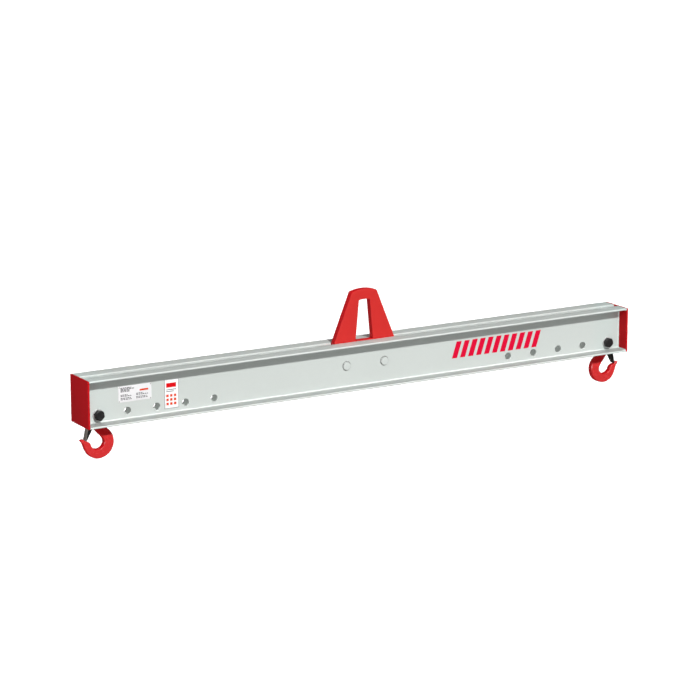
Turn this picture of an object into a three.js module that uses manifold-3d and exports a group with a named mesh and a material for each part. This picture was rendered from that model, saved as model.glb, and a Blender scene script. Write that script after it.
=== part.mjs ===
// Spreader beam: two channel sections back to back with an open slot between their webs,
// a suspension lug pinned in the slot at mid length, and a latched eye hook hung on a
// bolt at each end. Millimetres, +X along the beam, +Y towards the rear, +Z up.
// The origin is the bearing point of the lifting eye: the top of the lug's slot, on the
// beam's mid plane, where the load hook sits.
import * as THREE from "three";
import { mergeVertices } from "three/addons/utils/BufferGeometryUtils.js";
import Module from "manifold-3d";

const wasm = await Module();
wasm.setup();

// ---------------------------------------------------------------- driving dimensions
const GAP_FIT = 0.3; // clearance between pieces that touch

const CHANNEL_L = 1994; // length of each channel
const BEAM_H = 150; // channel height
const BEAM_W = 125; // over both pairs of flanges
const SLOT_W = 23; // between the webs
const FLANGE_W = (BEAM_W - SLOT_W) / 2;
const WEB_T = 6;
const FLANGE_T = 6;
const ROOT_R = 6; // root fillet between web and flange
const TOE_R = 2.5; // toe and heel rounding of the flanges
const END_T = 6; // end plate thickness

const EYE_Z = 285; // bearing point of the lifting eye above the beam's underside

const HOLE_Z = 31; // hook bolt line above the underside
const HOLE_D = 24; // clearance holes for the hook bolts
const HOLE_XS = [550, 650, 750, 850, 950]; // hook positions either side of mid length
const HOOK_X = 950; // where the hooks hang

const LUG_T = 22;
const LUG_BASE_HALF = 112; // half width where the lug leaves the slot
const LUG_TOP_HALF = 45.9; // half width at the shoulders
const LUG_SHOULDER_Z = 311.1;
const LUG_CROWN_Z = 318.3;
const LUG_CROWN_R = 150;
const LUG_FOOT_Z = 30; // lower edge of the lug, inside the slot
const EYE_BASE_HALF = 32.5; // half width of the lug's slot at its foot
const EYE_TOP_HALF = 20.1; // half width of the lug's slot under the crown
const EYE_FOOT_Z = 151.5;
const EYE_CROWN_R = 92;
const LUG_PIN_X = 70.5;
const LUG_PIN_Z = 75;
const LUG_PIN_D = 27;
const LUG_PIN_PROUD = 4.5; // how far each pin stands out of the web

const BOLT_D = 20; // M20 hook bolt
const BOLT_AF = 30;
const BOLT_HEAD_H = 12.5;
const HEAD_TURN = Math.PI / 12; // as the heads stand after tightening
const WASHER_D = 37;
const WASHER_T = 3;
const NUT_H = 20; // prevailing torque nut
const BOLT_END_Y = 46;

const EYE_T = 16; // hook eye thickness
const EYE_OUT_R = 26;
const EYE_BORE_R = 10.5;
const BOWL_T = 22.2; // hook bowl thickness
const SPACER_D = 34;

const LATCH_W = 22; // over the latch's cheeks
const LATCH_SHEET = 2;
const LATCH_PIVOT = [13, -23]; // from the hook bolt: outwards, up
const LATCH_PIN_D = 6;

const PLATE_W = 113; // rating plate
const PLATE_H = 51;
const LABEL_W = 47; // inspection label
const LABEL_H = 90;
const STRIPE_W = 350; // side marking foil
const STRIPE_H = 55;

// ---------------------------------------------------------------- materials
const paint = (color, roughness = 0.45, metalness = 0) =>
  new THREE.MeshStandardMaterial({ color, roughness, metalness });
const GREY = 0xc9cfcb;
const RED = 0xd2282c;
const BLACK = 0x2b2b2b;
const STEEL = 0x6e6a62;
const ZINC = 0xb6bab6;
const WHITE = 0xf2f1ef;

// ---------------------------------------------------------------- helpers
function signedVolume(g) {
  const p = g.attributes.position;
  const i = g.index ? g.index.array : [...Array(p.count).keys()];
  let v = 0;
  const a = new THREE.Vector3(),
    b = new THREE.Vector3(),
    c = new THREE.Vector3();
  for (let k = 0; k < i.length; k += 3) {
    a.fromBufferAttribute(p, i[k]);
    b.fromBufferAttribute(p, i[k + 1]);
    c.fromBufferAttribute(p, i[k + 2]);
    v += a.dot(b.cross(c)) / 6;
  }
  return v;
}

// a closed three.js geometry as a solid for joining and cutting
function solid(geometry) {
  let g = geometry.clone();
  for (const name of Object.keys(g.attributes))
    if (name !== "position") g.deleteAttribute(name);
  g = mergeVertices(g, 1e-3);
  const tris = Uint32Array.from(g.index.array);
  if (signedVolume(g) < 0)
    for (let k = 0; k < tris.length; k += 3)
      [tris[k + 1], tris[k + 2]] = [tris[k + 2], tris[k + 1]];
  return new wasm.Manifold(
    new wasm.Mesh({
      numProp: 3,
      vertProperties: Float32Array.from(g.attributes.position.array),
      triVerts: tris,
    }),
  );
}

function geometryOf(manifold) {
  const m = manifold.getMesh();
  const pos = new Float32Array(m.numVert * 3);
  for (let k = 0; k < m.numVert; k++)
    pos.set(m.vertProperties.subarray(k * m.numProp, k * m.numProp + 3), k * 3);
  const g = new THREE.BufferGeometry()
    .setAttribute("position", new THREE.BufferAttribute(pos, 3))
    .setIndex(new THREE.BufferAttribute(Uint32Array.from(m.triVerts), 1));
  const flat = g.toNonIndexed();
  flat.computeVertexNormals();
  return flat;
}

const moved = (g, x, y, z) => g.clone().translate(x, y, z);

// a shape drawn in (Y, Z), extruded along X from x0 to x1
function alongX(shape, x0, x1, curveSegments = 8) {
  const g = new THREE.ExtrudeGeometry(shape, {
    depth: x1 - x0,
    bevelEnabled: false,
    curveSegments,
  });
  g.applyMatrix4(
    new THREE.Matrix4().makeBasis(
      new THREE.Vector3(0, 1, 0),
      new THREE.Vector3(0, 0, 1),
      new THREE.Vector3(1, 0, 0),
    ),
  );
  return g.translate(x0, 0, 0);
}

// a shape drawn in (X, Z), extruded along Y from y0 to y1
function alongY(shape, y0, y1, curveSegments = 8) {
  const g = new THREE.ExtrudeGeometry(shape, {
    depth: y1 - y0,
    bevelEnabled: false,
    curveSegments,
  });
  g.applyMatrix4(
    new THREE.Matrix4().makeBasis(
      new THREE.Vector3(1, 0, 0),
      new THREE.Vector3(0, 0, 1),
      new THREE.Vector3(0, -1, 0),
    ),
  );
  return g.translate(0, y1, 0);
}

// a cylinder along Y
const rod = (r, y0, y1, x, z, seg = 32) =>
  moved(new THREE.CylinderGeometry(r, r, y1 - y0, seg), x, (y0 + y1) / 2, z);

// a flat ring along Y with lightly broken edges
function ring(rIn, rOut, y0, y1, seg = 32, edge = 0.4) {
  const p = [
    [rIn, y0],
    [rOut - edge, y0],
    [rOut, y0 + edge],
    [rOut, y1 - edge],
    [rOut - edge, y1],
    [rIn, y1],
    [rIn, y0],
  ].map(([r, y]) => new THREE.Vector2(r, y));
  return new THREE.LatheGeometry(p, seg);
}

function roundedRect(x0, z0, x1, z1, r) {
  const s = new THREE.Shape();
  s.moveTo(x0 + r, z0);
  s.lineTo(x1 - r, z0);
  s.quadraticCurveTo(x1, z0, x1, z0 + r);
  s.lineTo(x1, z1 - r);
  s.quadraticCurveTo(x1, z1, x1 - r, z1);
  s.lineTo(x0 + r, z1);
  s.quadraticCurveTo(x0, z1, x0, z1 - r);
  s.lineTo(x0, z0 + r);
  s.quadraticCurveTo(x0, z0, x0 + r, z0);
  return s;
}

function mesh(name, geometry, material) {
  const m = new THREE.Mesh(geometry, material);
  m.name = name;
  return m;
}

const group = new THREE.Group();
// everything below is laid out from the beam's underside, then lowered so that the
// lifting eye is at the origin
const beam = new THREE.Group();
beam.position.set(0, 0, -EYE_Z);
group.add(beam);

// ---------------------------------------------------------------- channels
// side = -1 for the front channel, +1 for the rear one
function channel(side) {
  const in_ = SLOT_W / 2;
  const out = BEAM_W / 2;
  const web = in_ + WEB_T;
  const s = new THREE.Shape();
  s.moveTo(in_ + TOE_R, 0);
  s.lineTo(out - TOE_R, 0);
  s.quadraticCurveTo(out, 0, out, TOE_R);
  s.lineTo(out, FLANGE_T - TOE_R);
  s.quadraticCurveTo(out, FLANGE_T, out - TOE_R, FLANGE_T);
  s.lineTo(web + ROOT_R, FLANGE_T);
  s.absarc(web + ROOT_R, FLANGE_T + ROOT_R, ROOT_R, -Math.PI / 2, Math.PI, true);
  s.lineTo(web, BEAM_H - FLANGE_T - ROOT_R);
  s.absarc(
    web + ROOT_R,
    BEAM_H - FLANGE_T - ROOT_R,
    ROOT_R,
    Math.PI,
    Math.PI / 2,
    true,
  );
  s.lineTo(out - TOE_R, BEAM_H - FLANGE_T);
  s.quadraticCurveTo(out, BEAM_H - FLANGE_T, out, BEAM_H - FLANGE_T + TOE_R);
  s.lineTo(out, BEAM_H - TOE_R);
  s.quadraticCurveTo(out, BEAM_H, out - TOE_R, BEAM_H);
  s.lineTo(in_ + TOE_R, BEAM_H);
  s.quadraticCurveTo(in_, BEAM_H, in_, BEAM_H - TOE_R);
  s.lineTo(in_, TOE_R);
  s.quadraticCurveTo(in_, 0, in_ + TOE_R, 0);
  let body = solid(alongX(s, -CHANNEL_L / 2, CHANNEL_L / 2, 4));
  const y0 = in_ - 4,
    y1 = web + 4;
  for (const x of HOLE_XS)
    for (const dir of [-1, 1])
      body = body.subtract(solid(rod(HOLE_D / 2, y0, y1, dir * x, HOLE_Z, 28)));
  for (const dir of [-1, 1])
    body = body.subtract(
      solid(
        rod(LUG_PIN_D / 2 + GAP_FIT, y0, y1, dir * LUG_PIN_X, LUG_PIN_Z, 28),
      ),
    );
  const g = geometryOf(body);
  if (side < 0) g.rotateZ(Math.PI);
  return g;
}
beam.add(mesh("channel_front", channel(-1), paint(GREY)));
beam.add(mesh("channel_rear", channel(1), paint(GREY)));

// ---------------------------------------------------------------- end plates
for (const [name, dir] of [
  ["end_plate_left", -1],
  ["end_plate_right", 1],
]) {
  const x0 = CHANNEL_L / 2 + GAP_FIT;
  const s = roundedRect(-BEAM_W / 2, 0, BEAM_W / 2, BEAM_H, 1.5);
  const g = dir > 0 ? alongX(s, x0, x0 + END_T, 3) : alongX(s, -x0 - END_T, -x0, 3);
  beam.add(mesh(name, g, paint(RED)));
}

// ---------------------------------------------------------------- suspension lug
{
  const s = new THREE.Shape();
  const b = LUG_BASE_HALF,
    c = LUG_TOP_HALF;
  const slope = (b - c) / (LUG_SHOULDER_Z - BEAM_H);
  const crown = (x) =>
    LUG_CROWN_Z - LUG_CROWN_R + Math.sqrt(LUG_CROWN_R ** 2 - x * x);
  const a = Math.asin(43 / LUG_CROWN_R);
  s.moveTo(-b + 25, LUG_FOOT_Z);
  s.lineTo(b - 25, LUG_FOOT_Z);
  s.lineTo(b, LUG_FOOT_Z + 25);
  s.lineTo(b, BEAM_H);
  s.lineTo(c + slope * 3, LUG_SHOULDER_Z - 3);
  s.quadraticCurveTo(c, LUG_SHOULDER_Z, 43, crown(43));
  s.absarc(
    0,
    LUG_CROWN_Z - LUG_CROWN_R,
    LUG_CROWN_R,
    Math.PI / 2 - a,
    Math.PI / 2 + a,
    false,
  );
  s.quadraticCurveTo(-c, LUG_SHOULDER_Z, -c - slope * 3, LUG_SHOULDER_Z - 3);
  s.lineTo(-b, BEAM_H);
  s.lineTo(-b, LUG_FOOT_Z + 25);
  s.closePath();

  const eye = new THREE.Path();
  const e0 = EYE_BASE_HALF,
    e1 = EYE_TOP_HALF;
  const arcZ = (x) => EYE_Z - EYE_CROWN_R + Math.sqrt(EYE_CROWN_R ** 2 - x * x);
  const t = Math.asin(16.5 / EYE_CROWN_R);
  eye.moveTo(-e0 + 4, EYE_FOOT_Z);
  eye.lineTo(e0 - 4, EYE_FOOT_Z);
  eye.quadraticCurveTo(e0, EYE_FOOT_Z, e0 - 0.4, EYE_FOOT_Z + 4);
  eye.lineTo(e1 + 0.4, 277);
  eye.quadraticCurveTo(e1, 282.6, 16.5, arcZ(16.5));
  eye.absarc(
    0,
    EYE_Z - EYE_CROWN_R,
    EYE_CROWN_R,
    Math.PI / 2 - t,
    Math.PI / 2 + t,
    false,
  );
  eye.quadraticCurveTo(-e1, 282.6, -e1 - 0.4, 277);
  eye.lineTo(-e0 + 0.4, EYE_FOOT_Z + 4);
  eye.quadraticCurveTo(-e0, EYE_FOOT_Z, -e0 + 4, EYE_FOOT_Z);
  s.holes.push(eye);

  let body = solid(alongY(s, -LUG_T / 2, LUG_T / 2, 10));
  for (const dir of [-1, 1])
    body = body.subtract(
      solid(
        rod(
          LUG_PIN_D / 2 + GAP_FIT,
          -LUG_T,
          LUG_T,
          dir * LUG_PIN_X,
          LUG_PIN_Z,
          28,
        ),
      ),
    );
  beam.add(mesh("suspension_lug", geometryOf(body), paint(RED)));
}

// the two round pins that carry the lug in both webs
for (const [name, dir] of [
  ["lug_pin_left", -1],
  ["lug_pin_right", 1],
]) {
  const half = SLOT_W / 2 + WEB_T + LUG_PIN_PROUD;
  const r = LUG_PIN_D / 2;
  const p = [
    [0, -half],
    [r - 0.8, -half],
    [r, -half + 0.8],
    [r, half - 0.8],
    [r - 0.8, half],
    [0, half],
  ].map(([x, y]) => new THREE.Vector2(x, y));
  const g = geometryOf(solid(new THREE.LatheGeometry(p, 28)));
  g.translate(dir * LUG_PIN_X, 0, LUG_PIN_Z);
  beam.add(mesh(name, g, paint(GREY)));
}

// ---------------------------------------------------------------- hook bolts
const WEB_OUT = SLOT_W / 2 + WEB_T;
function hexagon(af, r, turn = 0) {
  const s = new THREE.Shape();
  for (let k = 0; k < 6; k++) {
    const a = (k * Math.PI) / 3 + Math.PI / 6 + turn;
    const x = (af / Math.sqrt(3)) * Math.cos(a),
      z = (af / Math.sqrt(3)) * Math.sin(a);
    if (k === 0) s.moveTo(x, z);
    else s.lineTo(x, z);
  }
  s.closePath();
  if (r) {
    const h = new THREE.Path();
    h.absarc(0, 0, r, 0, 2 * Math.PI, true);
    s.holes.push(h);
  }
  return s;
}

function hookBolt() {
  const under = -(WEB_OUT + GAP_FIT + WASHER_T + GAP_FIT);
  const face = under - BOLT_HEAD_H;
  const ac = BOLT_AF / Math.sqrt(3);
  const head = solid(alongY(hexagon(BOLT_AF, 0, HEAD_TURN), face, under));
  const cone = solid(
    new THREE.LatheGeometry(
      [
        [0, face],
        [BOLT_AF / 2 - 0.6, face],
        [ac + 0.2, face + 1.6],
        [ac + 0.2, under],
        [0, under],
      ].map(([x, y]) => new THREE.Vector2(x, y)),
      24,
    ),
  );
  const r = BOLT_D / 2;
  const shank = solid(
    new THREE.LatheGeometry(
      [
        [0, under - 1],
        [r, under - 1],
        [r, BOLT_END_Y - 1.5],
        [r - 1.5, BOLT_END_Y],
        [0, BOLT_END_Y],
      ].map(([x, y]) => new THREE.Vector2(x, y)),
      28,
    ),
  );
  return geometryOf(head.intersect(cone).add(shank));
}

function lockNut() {
  const y0 = WEB_OUT + GAP_FIT + WASHER_T + GAP_FIT;
  const r = BOLT_D / 2 + GAP_FIT;
  const hex = solid(alongY(hexagon(BOLT_AF, r), y0, y0 + NUT_H - 4, 14));
  const collar = solid(ring(r, BOLT_AF / 2 - 1.2, y0 + NUT_H - 5, y0 + NUT_H, 28, 1.2));
  return geometryOf(hex.add(collar));
}

const washer = (y0) =>
  geometryOf(
    solid(ring(BOLT_D / 2 + 0.5, WASHER_D / 2, y0, y0 + WASHER_T, 28, 0.5)),
  );

// ---------------------------------------------------------------- eye hook
// Stations of the forging from its neck to its point, measured outwards and up from
// the bolt: the back of the hook, the inside of the hook, half the thickness.
const STATIONS = [
  [-20, -20, 12, -20, 7.6],
  [-22.5, -32, 16.5, -35, 7.7],
  [-34.2, -46.9, 7.1, -48, 8],
  [-46.2, -58.9, -2.3, -59.9, 8.3],
  [-53.2, -70.6, -11.5, -69.2, 9.4],
  [-55.7, -82.3, -18.5, -77.5, 10.5],
  [-56.1, -93.3, -23.3, -87, 11],
  [-54, -105.4, -22.6, -95.6, 11.1],
  [-48.6, -117, -18.8, -102.9, 11.1],
  [-40.5, -127.3, -13, -108.5, 11.1],
  [-29.1, -134.9, -6.4, -111, 11.1],
  [-16.7, -139.4, -1.7, -111.6, 11.1],
  [-4.3, -141.3, 1.9, -110.9, 11.1],
  [8.1, -139.7, 6.4, -110, 11.1],
  [19.1, -134.5, 11.2, -108.1, 10.9],
  [29.1, -126.7, 15.4, -104.3, 10.5],
  [36.8, -116.2, 19.2, -100.3, 10],
  [41.9, -105.4, 20.6, -95.3, 9.5],
  [45.2, -96, 21.9, -91.1, 9],
  [48.6, -88.3, 24.9, -87.4, 8.4],
  [52.4, -83.1, 30.2, -84, 7.8],
  [54.9, -79.9, 36, -82.2, 7.2],
  [56.7, -77.4, 40.4, -80.4, 6.6],
  [54, -75.4, 41.4, -75.8, 5.6],
];

function hookForging() {
  const v3 = (x, z) => new THREE.Vector3(x, 0, z);
  const back = new THREE.CatmullRomCurve3(
    STATIONS.map((s) => v3(s[0], s[1])),
    false,
    "catmullrom",
    0.5,
  );
  const inside = new THREE.CatmullRomCurve3(
    STATIONS.map((s) => v3(s[2], s[3])),
    false,
    "catmullrom",
    0.5,
  );
  const thick = new THREE.CatmullRomCurve3(
    STATIONS.map((s, k) => v3(s[4], k)),
    false,
    "catmullrom",
    0.5,
  );
  const rows = (STATIONS.length - 1) * 2;
  const g = new THREE.CylinderGeometry(1, 1, 1, 20, rows);
  for (const name of ["normal", "uv"]) g.deleteAttribute(name);
  const p = g.attributes.position;
  const v = new THREE.Vector3();
  const power = (x) => Math.sign(x) * Math.abs(x) ** 0.45;
  for (let k = 0; k < p.count; k++) {
    v.fromBufferAttribute(p, k);
    const t = Math.min(1, Math.max(0, 0.5 - v.y));
    const r = Math.hypot(v.x, v.z);
    const o = back.getPoint(t),
      i = inside.getPoint(t),
      b = thick.getPoint(t).x;
    const a = Math.atan2(v.x, v.z);
    const u = r * power(Math.cos(a)),
      w = r * power(Math.sin(a));
    p.setXYZ(
      k,
      (o.x + i.x) / 2 + ((o.x - i.x) / 2) * u,
      b * w,
      (o.z + i.z) / 2 + ((o.z - i.z) / 2) * u,
    );
  }
  return g;
}

function hook() {
  const [px, pz] = LATCH_PIVOT;
  const h = EYE_T / 2;
  let body = solid(hookForging());
  const eye = solid(
    new THREE.LatheGeometry(
      [
        [EYE_BORE_R - 3, -h],
        [EYE_OUT_R - 4, -h],
        [EYE_OUT_R - 1.2, -h + 1.4],
        [EYE_OUT_R, -h + 4],
        [EYE_OUT_R, h - 4],
        [EYE_OUT_R - 1.2, h - 1.4],
        [EYE_OUT_R - 4, h],
        [EYE_BORE_R - 3, h],
        [EYE_BORE_R - 3, -h],
      ].map(([x, y]) => new THREE.Vector2(x, y)),
      36,
    ),
  );
  const boss = solid(rod(9, -h, h, px, pz, 28));
  // web of material between the eye and the latch boss
  const s = new THREE.Shape();
  s.moveTo(-19, -18);
  s.lineTo(-21, -30);
  s.lineTo(14, -31.5);
  s.lineTo(21.8, -21);
  s.lineTo(23, -12);
  s.closePath();
  const neck = solid(alongY(s, -h + 0.4, h - 0.4));
  body = body.add(eye).add(boss).add(neck);
  body = body.subtract(solid(rod(EYE_BORE_R, -20, 20, 0, 0, 36)));
  body = body.subtract(solid(rod(LATCH_PIN_D / 2 + GAP_FIT, -20, 20, px, pz, 20)));
  // recess for the latch spring on the hook's front face
  body = body.subtract(solid(rod(9.4, -20, -5, px, pz, 28)));
  return geometryOf(body);
}

// ---------------------------------------------------------------- hook latch
// a folded sheet channel: its back closes the throat, its two cheeks turn on the pin
function latch() {
  const [px, pz] = LATCH_PIVOT;
  const half = LATCH_W / 2;
  const s = new THREE.Shape();
  s.moveTo(39.37, -80); // lower end of the back, against the hook's point
  s.lineTo(27.7, -26);
  s.quadraticCurveTo(26.6, -18, 20.5, -15.2);
  s.quadraticCurveTo(17.5, -14, 13, -14.4);
  s.absarc(px, pz, 8.6, Math.PI / 2, Math.PI * 1.22, false);
  s.quadraticCurveTo(9.8, -36.5, 17.8, -46.5);
  s.lineTo(34.6, -77);
  s.lineTo(37.1, -79.6);
  s.closePath();
  let body = solid(alongY(s, -half, half, 8));
  // hollow between the cheeks, open towards the inside of the hook
  const d = new THREE.Vector2(39.37 - 27.7, -80 + 26).normalize();
  const n = new THREE.Vector2(d.y, -d.x); // towards the throat
  const a = new THREE.Vector2(27.7, -26).addScaledVector(n, LATCH_SHEET);
  const top = a.clone().addScaledVector(d, -40);
  const low = a.clone().addScaledVector(d, 90);
  const c = new THREE.Shape();
  c.moveTo(top.x, top.y);
  c.lineTo(low.x, low.y);
  c.lineTo(-60, low.y);
  c.lineTo(-60, top.y);
  c.closePath();
  body = body.subtract(
    solid(alongY(c, -half + LATCH_SHEET, half - LATCH_SHEET)),
  );
  body = body.subtract(
    solid(rod(LATCH_PIN_D / 2 + 0.4, -20, 20, px, pz, 20)),
  );
  return geometryOf(body);
}

const latchPin = () =>
  geometryOf(
    solid(
      new THREE.LatheGeometry(
        [
          [0, -11.2],
          [LATCH_PIN_D / 2 - 0.5, -11.2],
          [LATCH_PIN_D / 2, -10.8],
          [LATCH_PIN_D / 2, 10.8],
          [LATCH_PIN_D / 2 - 0.5, 11.2],
          [0, 11.2],
        ].map(([x, y]) => new THREE.Vector2(x, y)),
        20,
      ),
    ),
  );

// the coil of the latch's torsion spring, in the recess round the pin
const latchSpring = () =>
  geometryOf(solid(ring(LATCH_PIN_D / 2 + 0.5, 6.4, -7.9, -5.3, 24, 0.5)));

// ---------------------------------------------------------------- hook sets
for (const [side, dir] of [
  ["left", -1],
  ["right", 1],
]) {
  // the bolt goes through both webs, its head on the front channel
  const station = new THREE.Group();
  station.position.set(dir * HOOK_X, 0, HOLE_Z);
  beam.add(station);
  station.add(mesh("hook_bolt_" + side, hookBolt(), paint(BLACK, 0.5, 0.3)));
  station.add(
    mesh(
      "head_washer_" + side,
      washer(-(WEB_OUT + GAP_FIT + WASHER_T)),
      paint(ZINC, 0.4, 0.6),
    ),
  );
  station.add(
    mesh("nut_washer_" + side, washer(WEB_OUT + GAP_FIT), paint(ZINC, 0.4, 0.6)),
  );
  station.add(mesh("lock_nut_" + side, lockNut(), paint(BLACK, 0.5, 0.3)));
  const a = EYE_T / 2 + GAP_FIT,
    b = SLOT_W / 2 - GAP_FIT;
  station.add(
    mesh(
      "front_spacer_" + side,
      geometryOf(solid(ring(BOLT_D / 2 + GAP_FIT, SPACER_D / 2, -b, -a, 28, 0.3))),
      paint(STEEL, 0.4, 0.8),
    ),
  );
  station.add(
    mesh(
      "rear_spacer_" + side,
      geometryOf(solid(ring(BOLT_D / 2 + GAP_FIT, SPACER_D / 2, a, b, 28, 0.3))),
      paint(STEEL, 0.4, 0.8),
    ),
  );
  // both hooks are the same part, turned so that their throats face outwards
  const swing = new THREE.Group();
  swing.rotation.z = dir > 0 ? 0 : Math.PI;
  station.add(swing);
  swing.add(mesh("load_hook_" + side, hook(), paint(RED, 0.4)));
  swing.add(mesh("latch_" + side, latch(), paint(0x4a463f, 0.4, 0.8)));
  const pin = mesh("latch_pin_" + side, latchPin(), paint(STEEL, 0.35, 0.9));
  pin.position.set(LATCH_PIVOT[0], 0, LATCH_PIVOT[1]);
  swing.add(pin);
  const spring = mesh("latch_spring_" + side, latchSpring(), paint(STEEL, 0.3, 0.9));
  spring.position.set(LATCH_PIVOT[0], 0, LATCH_PIVOT[1]);
  swing.add(spring);
}

// ---------------------------------------------------------------- plate and foils
function foil(name, x, z, w, h, t, r, color) {
  const y1 = -(WEB_OUT + GAP_FIT);
  const s = roundedRect(x - w / 2, z - h / 2, x + w / 2, z + h / 2, r);
  beam.add(mesh(name, alongY(s, y1 - t, y1, 3), paint(color, 0.35)));
}
foil("rating_plate", -824, 84.5, PLATE_W, PLATE_H, 0.8, 2, WHITE);
foil("inspection_label", -698.4, 65.2, LABEL_W, LABEL_H, 0.4, 2, WHITE);
foil("side_marking", 504, 77.5, STRIPE_W, STRIPE_H, 0.4, 2, 0xe4003c);

export default group;
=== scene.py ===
import bpy
import bmesh
import math
import random
import numpy as np
from mathutils import Matrix, Vector, noise


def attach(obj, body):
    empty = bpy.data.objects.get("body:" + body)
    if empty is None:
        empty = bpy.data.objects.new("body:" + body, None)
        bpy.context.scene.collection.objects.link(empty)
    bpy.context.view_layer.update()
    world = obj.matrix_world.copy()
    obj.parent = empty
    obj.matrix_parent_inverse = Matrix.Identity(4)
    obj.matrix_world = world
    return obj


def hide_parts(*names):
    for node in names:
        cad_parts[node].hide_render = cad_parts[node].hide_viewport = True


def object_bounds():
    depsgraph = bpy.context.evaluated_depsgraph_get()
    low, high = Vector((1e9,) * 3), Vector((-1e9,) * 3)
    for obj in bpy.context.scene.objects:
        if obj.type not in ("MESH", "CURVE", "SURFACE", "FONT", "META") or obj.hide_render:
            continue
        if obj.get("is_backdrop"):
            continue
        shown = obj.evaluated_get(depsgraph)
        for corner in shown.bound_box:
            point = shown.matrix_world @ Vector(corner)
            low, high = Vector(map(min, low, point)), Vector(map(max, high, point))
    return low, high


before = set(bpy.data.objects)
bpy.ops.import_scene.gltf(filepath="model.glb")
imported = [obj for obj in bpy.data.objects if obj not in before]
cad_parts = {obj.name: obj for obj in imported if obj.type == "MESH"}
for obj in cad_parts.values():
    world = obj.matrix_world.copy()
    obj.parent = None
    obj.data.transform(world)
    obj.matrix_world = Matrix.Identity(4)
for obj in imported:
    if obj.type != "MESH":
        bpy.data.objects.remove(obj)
CAD_LO, CAD_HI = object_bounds()

# ------------------------------------------------------------------ frame and sizes
# Lengths below are millimetres from the beam's underside; M() turns them into the row
# frame's metres. The origin of the row frame is the bearing point of the lifting eye.
EYE_Z = 285.0
CHANNEL_L, BEAM_H, BEAM_W, SLOT_W = 1994.0, 150.0, 125.0, 23.0
WEB_T, FLANGE_T, ROOT_R, TOE_R, END_T = 6.0, 6.0, 6.0, 2.5, 6.0
IN, OUT, WEB = SLOT_W / 2, BEAM_W / 2, SLOT_W / 2 + WEB_T
HOLE_Z, HOLE_D, HOLE_XS, HOOK_X = 31.0, 24.0, (550, 650, 750, 850, 950), 950.0
PIN_X, PIN_Z, PIN_R, PIN_PROUD = 70.5, 75.0, 13.5, 4.5
PX, PZ = 13.0, -23.0  # latch pivot from the hook bolt
GAP = 0.3


def M(v):
    a = np.array(v, float).reshape(-1, 3)
    a[:, 2] -= EYE_Z
    return a * 0.001


# ------------------------------------------------------------------ mesh helpers
def link(ob):
    bpy.context.scene.collection.objects.link(ob)
    return ob


def raw(name, verts, faces):
    """An object whose closed mesh has its faces pointing out. verts in millimetres as given."""
    me = bpy.data.meshes.new(name)
    me.from_pydata([tuple(map(float, v)) for v in verts], [], [tuple(f) for f in faces])
    bm = bmesh.new()
    bm.from_mesh(me)
    bmesh.ops.remove_doubles(bm, verts=bm.verts, dist=1e-5)
    bmesh.ops.recalc_face_normals(bm, faces=bm.faces)
    if bm.calc_volume(signed=True) < 0:
        bmesh.ops.reverse_faces(bm, faces=bm.faces)
    bm.to_mesh(me)
    bm.free()
    return link(bpy.data.objects.new(name, me))


def settle(ob):
    """Applies the object's modifiers to its mesh."""
    dg = bpy.context.evaluated_depsgraph_get()
    me = bpy.data.meshes.new_from_object(ob.evaluated_get(dg), depsgraph=dg)
    ob.modifiers.clear()
    old = ob.data
    ob.data = me
    if old.users == 0:
        bpy.data.meshes.remove(old)
    me.name = ob.name
    return ob


def combine(ob, others, op="DIFFERENCE"):
    """Cuts others from ob, or joins them to it, and drops them."""
    for o in others:
        m = ob.modifiers.new("b", "BOOLEAN")
        m.operation, m.object, m.solver = op, o, "MANIFOLD"
    settle(ob)
    for o in others:
        me = o.data
        bpy.data.objects.remove(o)
        bpy.data.meshes.remove(me)
    return ob


def merge(name, obs):
    """Several objects as one, each shell kept."""
    bm = bmesh.new()
    for o in obs:
        bm.from_mesh(o.data)
    me = bpy.data.meshes.new(name)
    bm.to_mesh(me)
    bm.free()
    for o in obs:
        old = o.data
        bpy.data.objects.remove(o)
        if old.users == 0:
            bpy.data.meshes.remove(old)
    return link(bpy.data.objects.new(name, me))


def place(ob, at=(0, 0, 0), turn=False):
    """Moves the mesh: at is millimetres in the beam's coordinates, turn is half a turn about Z first."""
    m = Matrix.Translation(Vector(at))
    if turn:
        m = m @ Matrix.Rotation(math.pi, 4, "Z")
    ob.data.transform(m)
    return ob


def twin(ob, name):
    return link(bpy.data.objects.new(name, ob.data.copy()))


def done(ob, mat, body, stands_for=(), sharp=32.0):
    """Finishes a piece: row frame, material, smooth shading between sharp edges, body."""
    me = ob.data
    me.transform(Matrix.Scale(0.001, 4) @ Matrix.Translation((0, 0, -EYE_Z)))
    me.materials.clear()
    me.materials.append(mat)
    me.polygons.foreach_set("material_index", [0] * len(me.polygons))
    me.polygons.foreach_set("use_smooth", [True] * len(me.polygons))
    me.set_sharp_from_angle(angle=math.radians(sharp))
    me.update()
    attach(ob, body)
    if stands_for:
        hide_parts(*stands_for)
    return ob


def arc(cx, cy, r, a0, a1, n):
    return [
        (
            cx + r * math.cos(math.radians(a0 + (a1 - a0) * k / n)),
            cy + r * math.sin(math.radians(a0 + (a1 - a0) * k / n)),
        )
        for k in range(n + 1)
    ]


def clean_loop(loop, eps=1e-4):
    out = []
    for p in loop:
        if not out or math.hypot(p[0] - out[-1][0], p[1] - out[-1][1]) > eps:
            out.append((float(p[0]), float(p[1])))
    while len(out) > 2 and math.hypot(out[0][0] - out[-1][0], out[0][1] - out[-1][1]) <= eps:
        out.pop()
    return out


def area2(loop):
    return sum(
        loop[k][0] * loop[(k + 1) % len(loop)][1] - loop[(k + 1) % len(loop)][0] * loop[k][1]
        for k in range(len(loop))
    )


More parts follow.
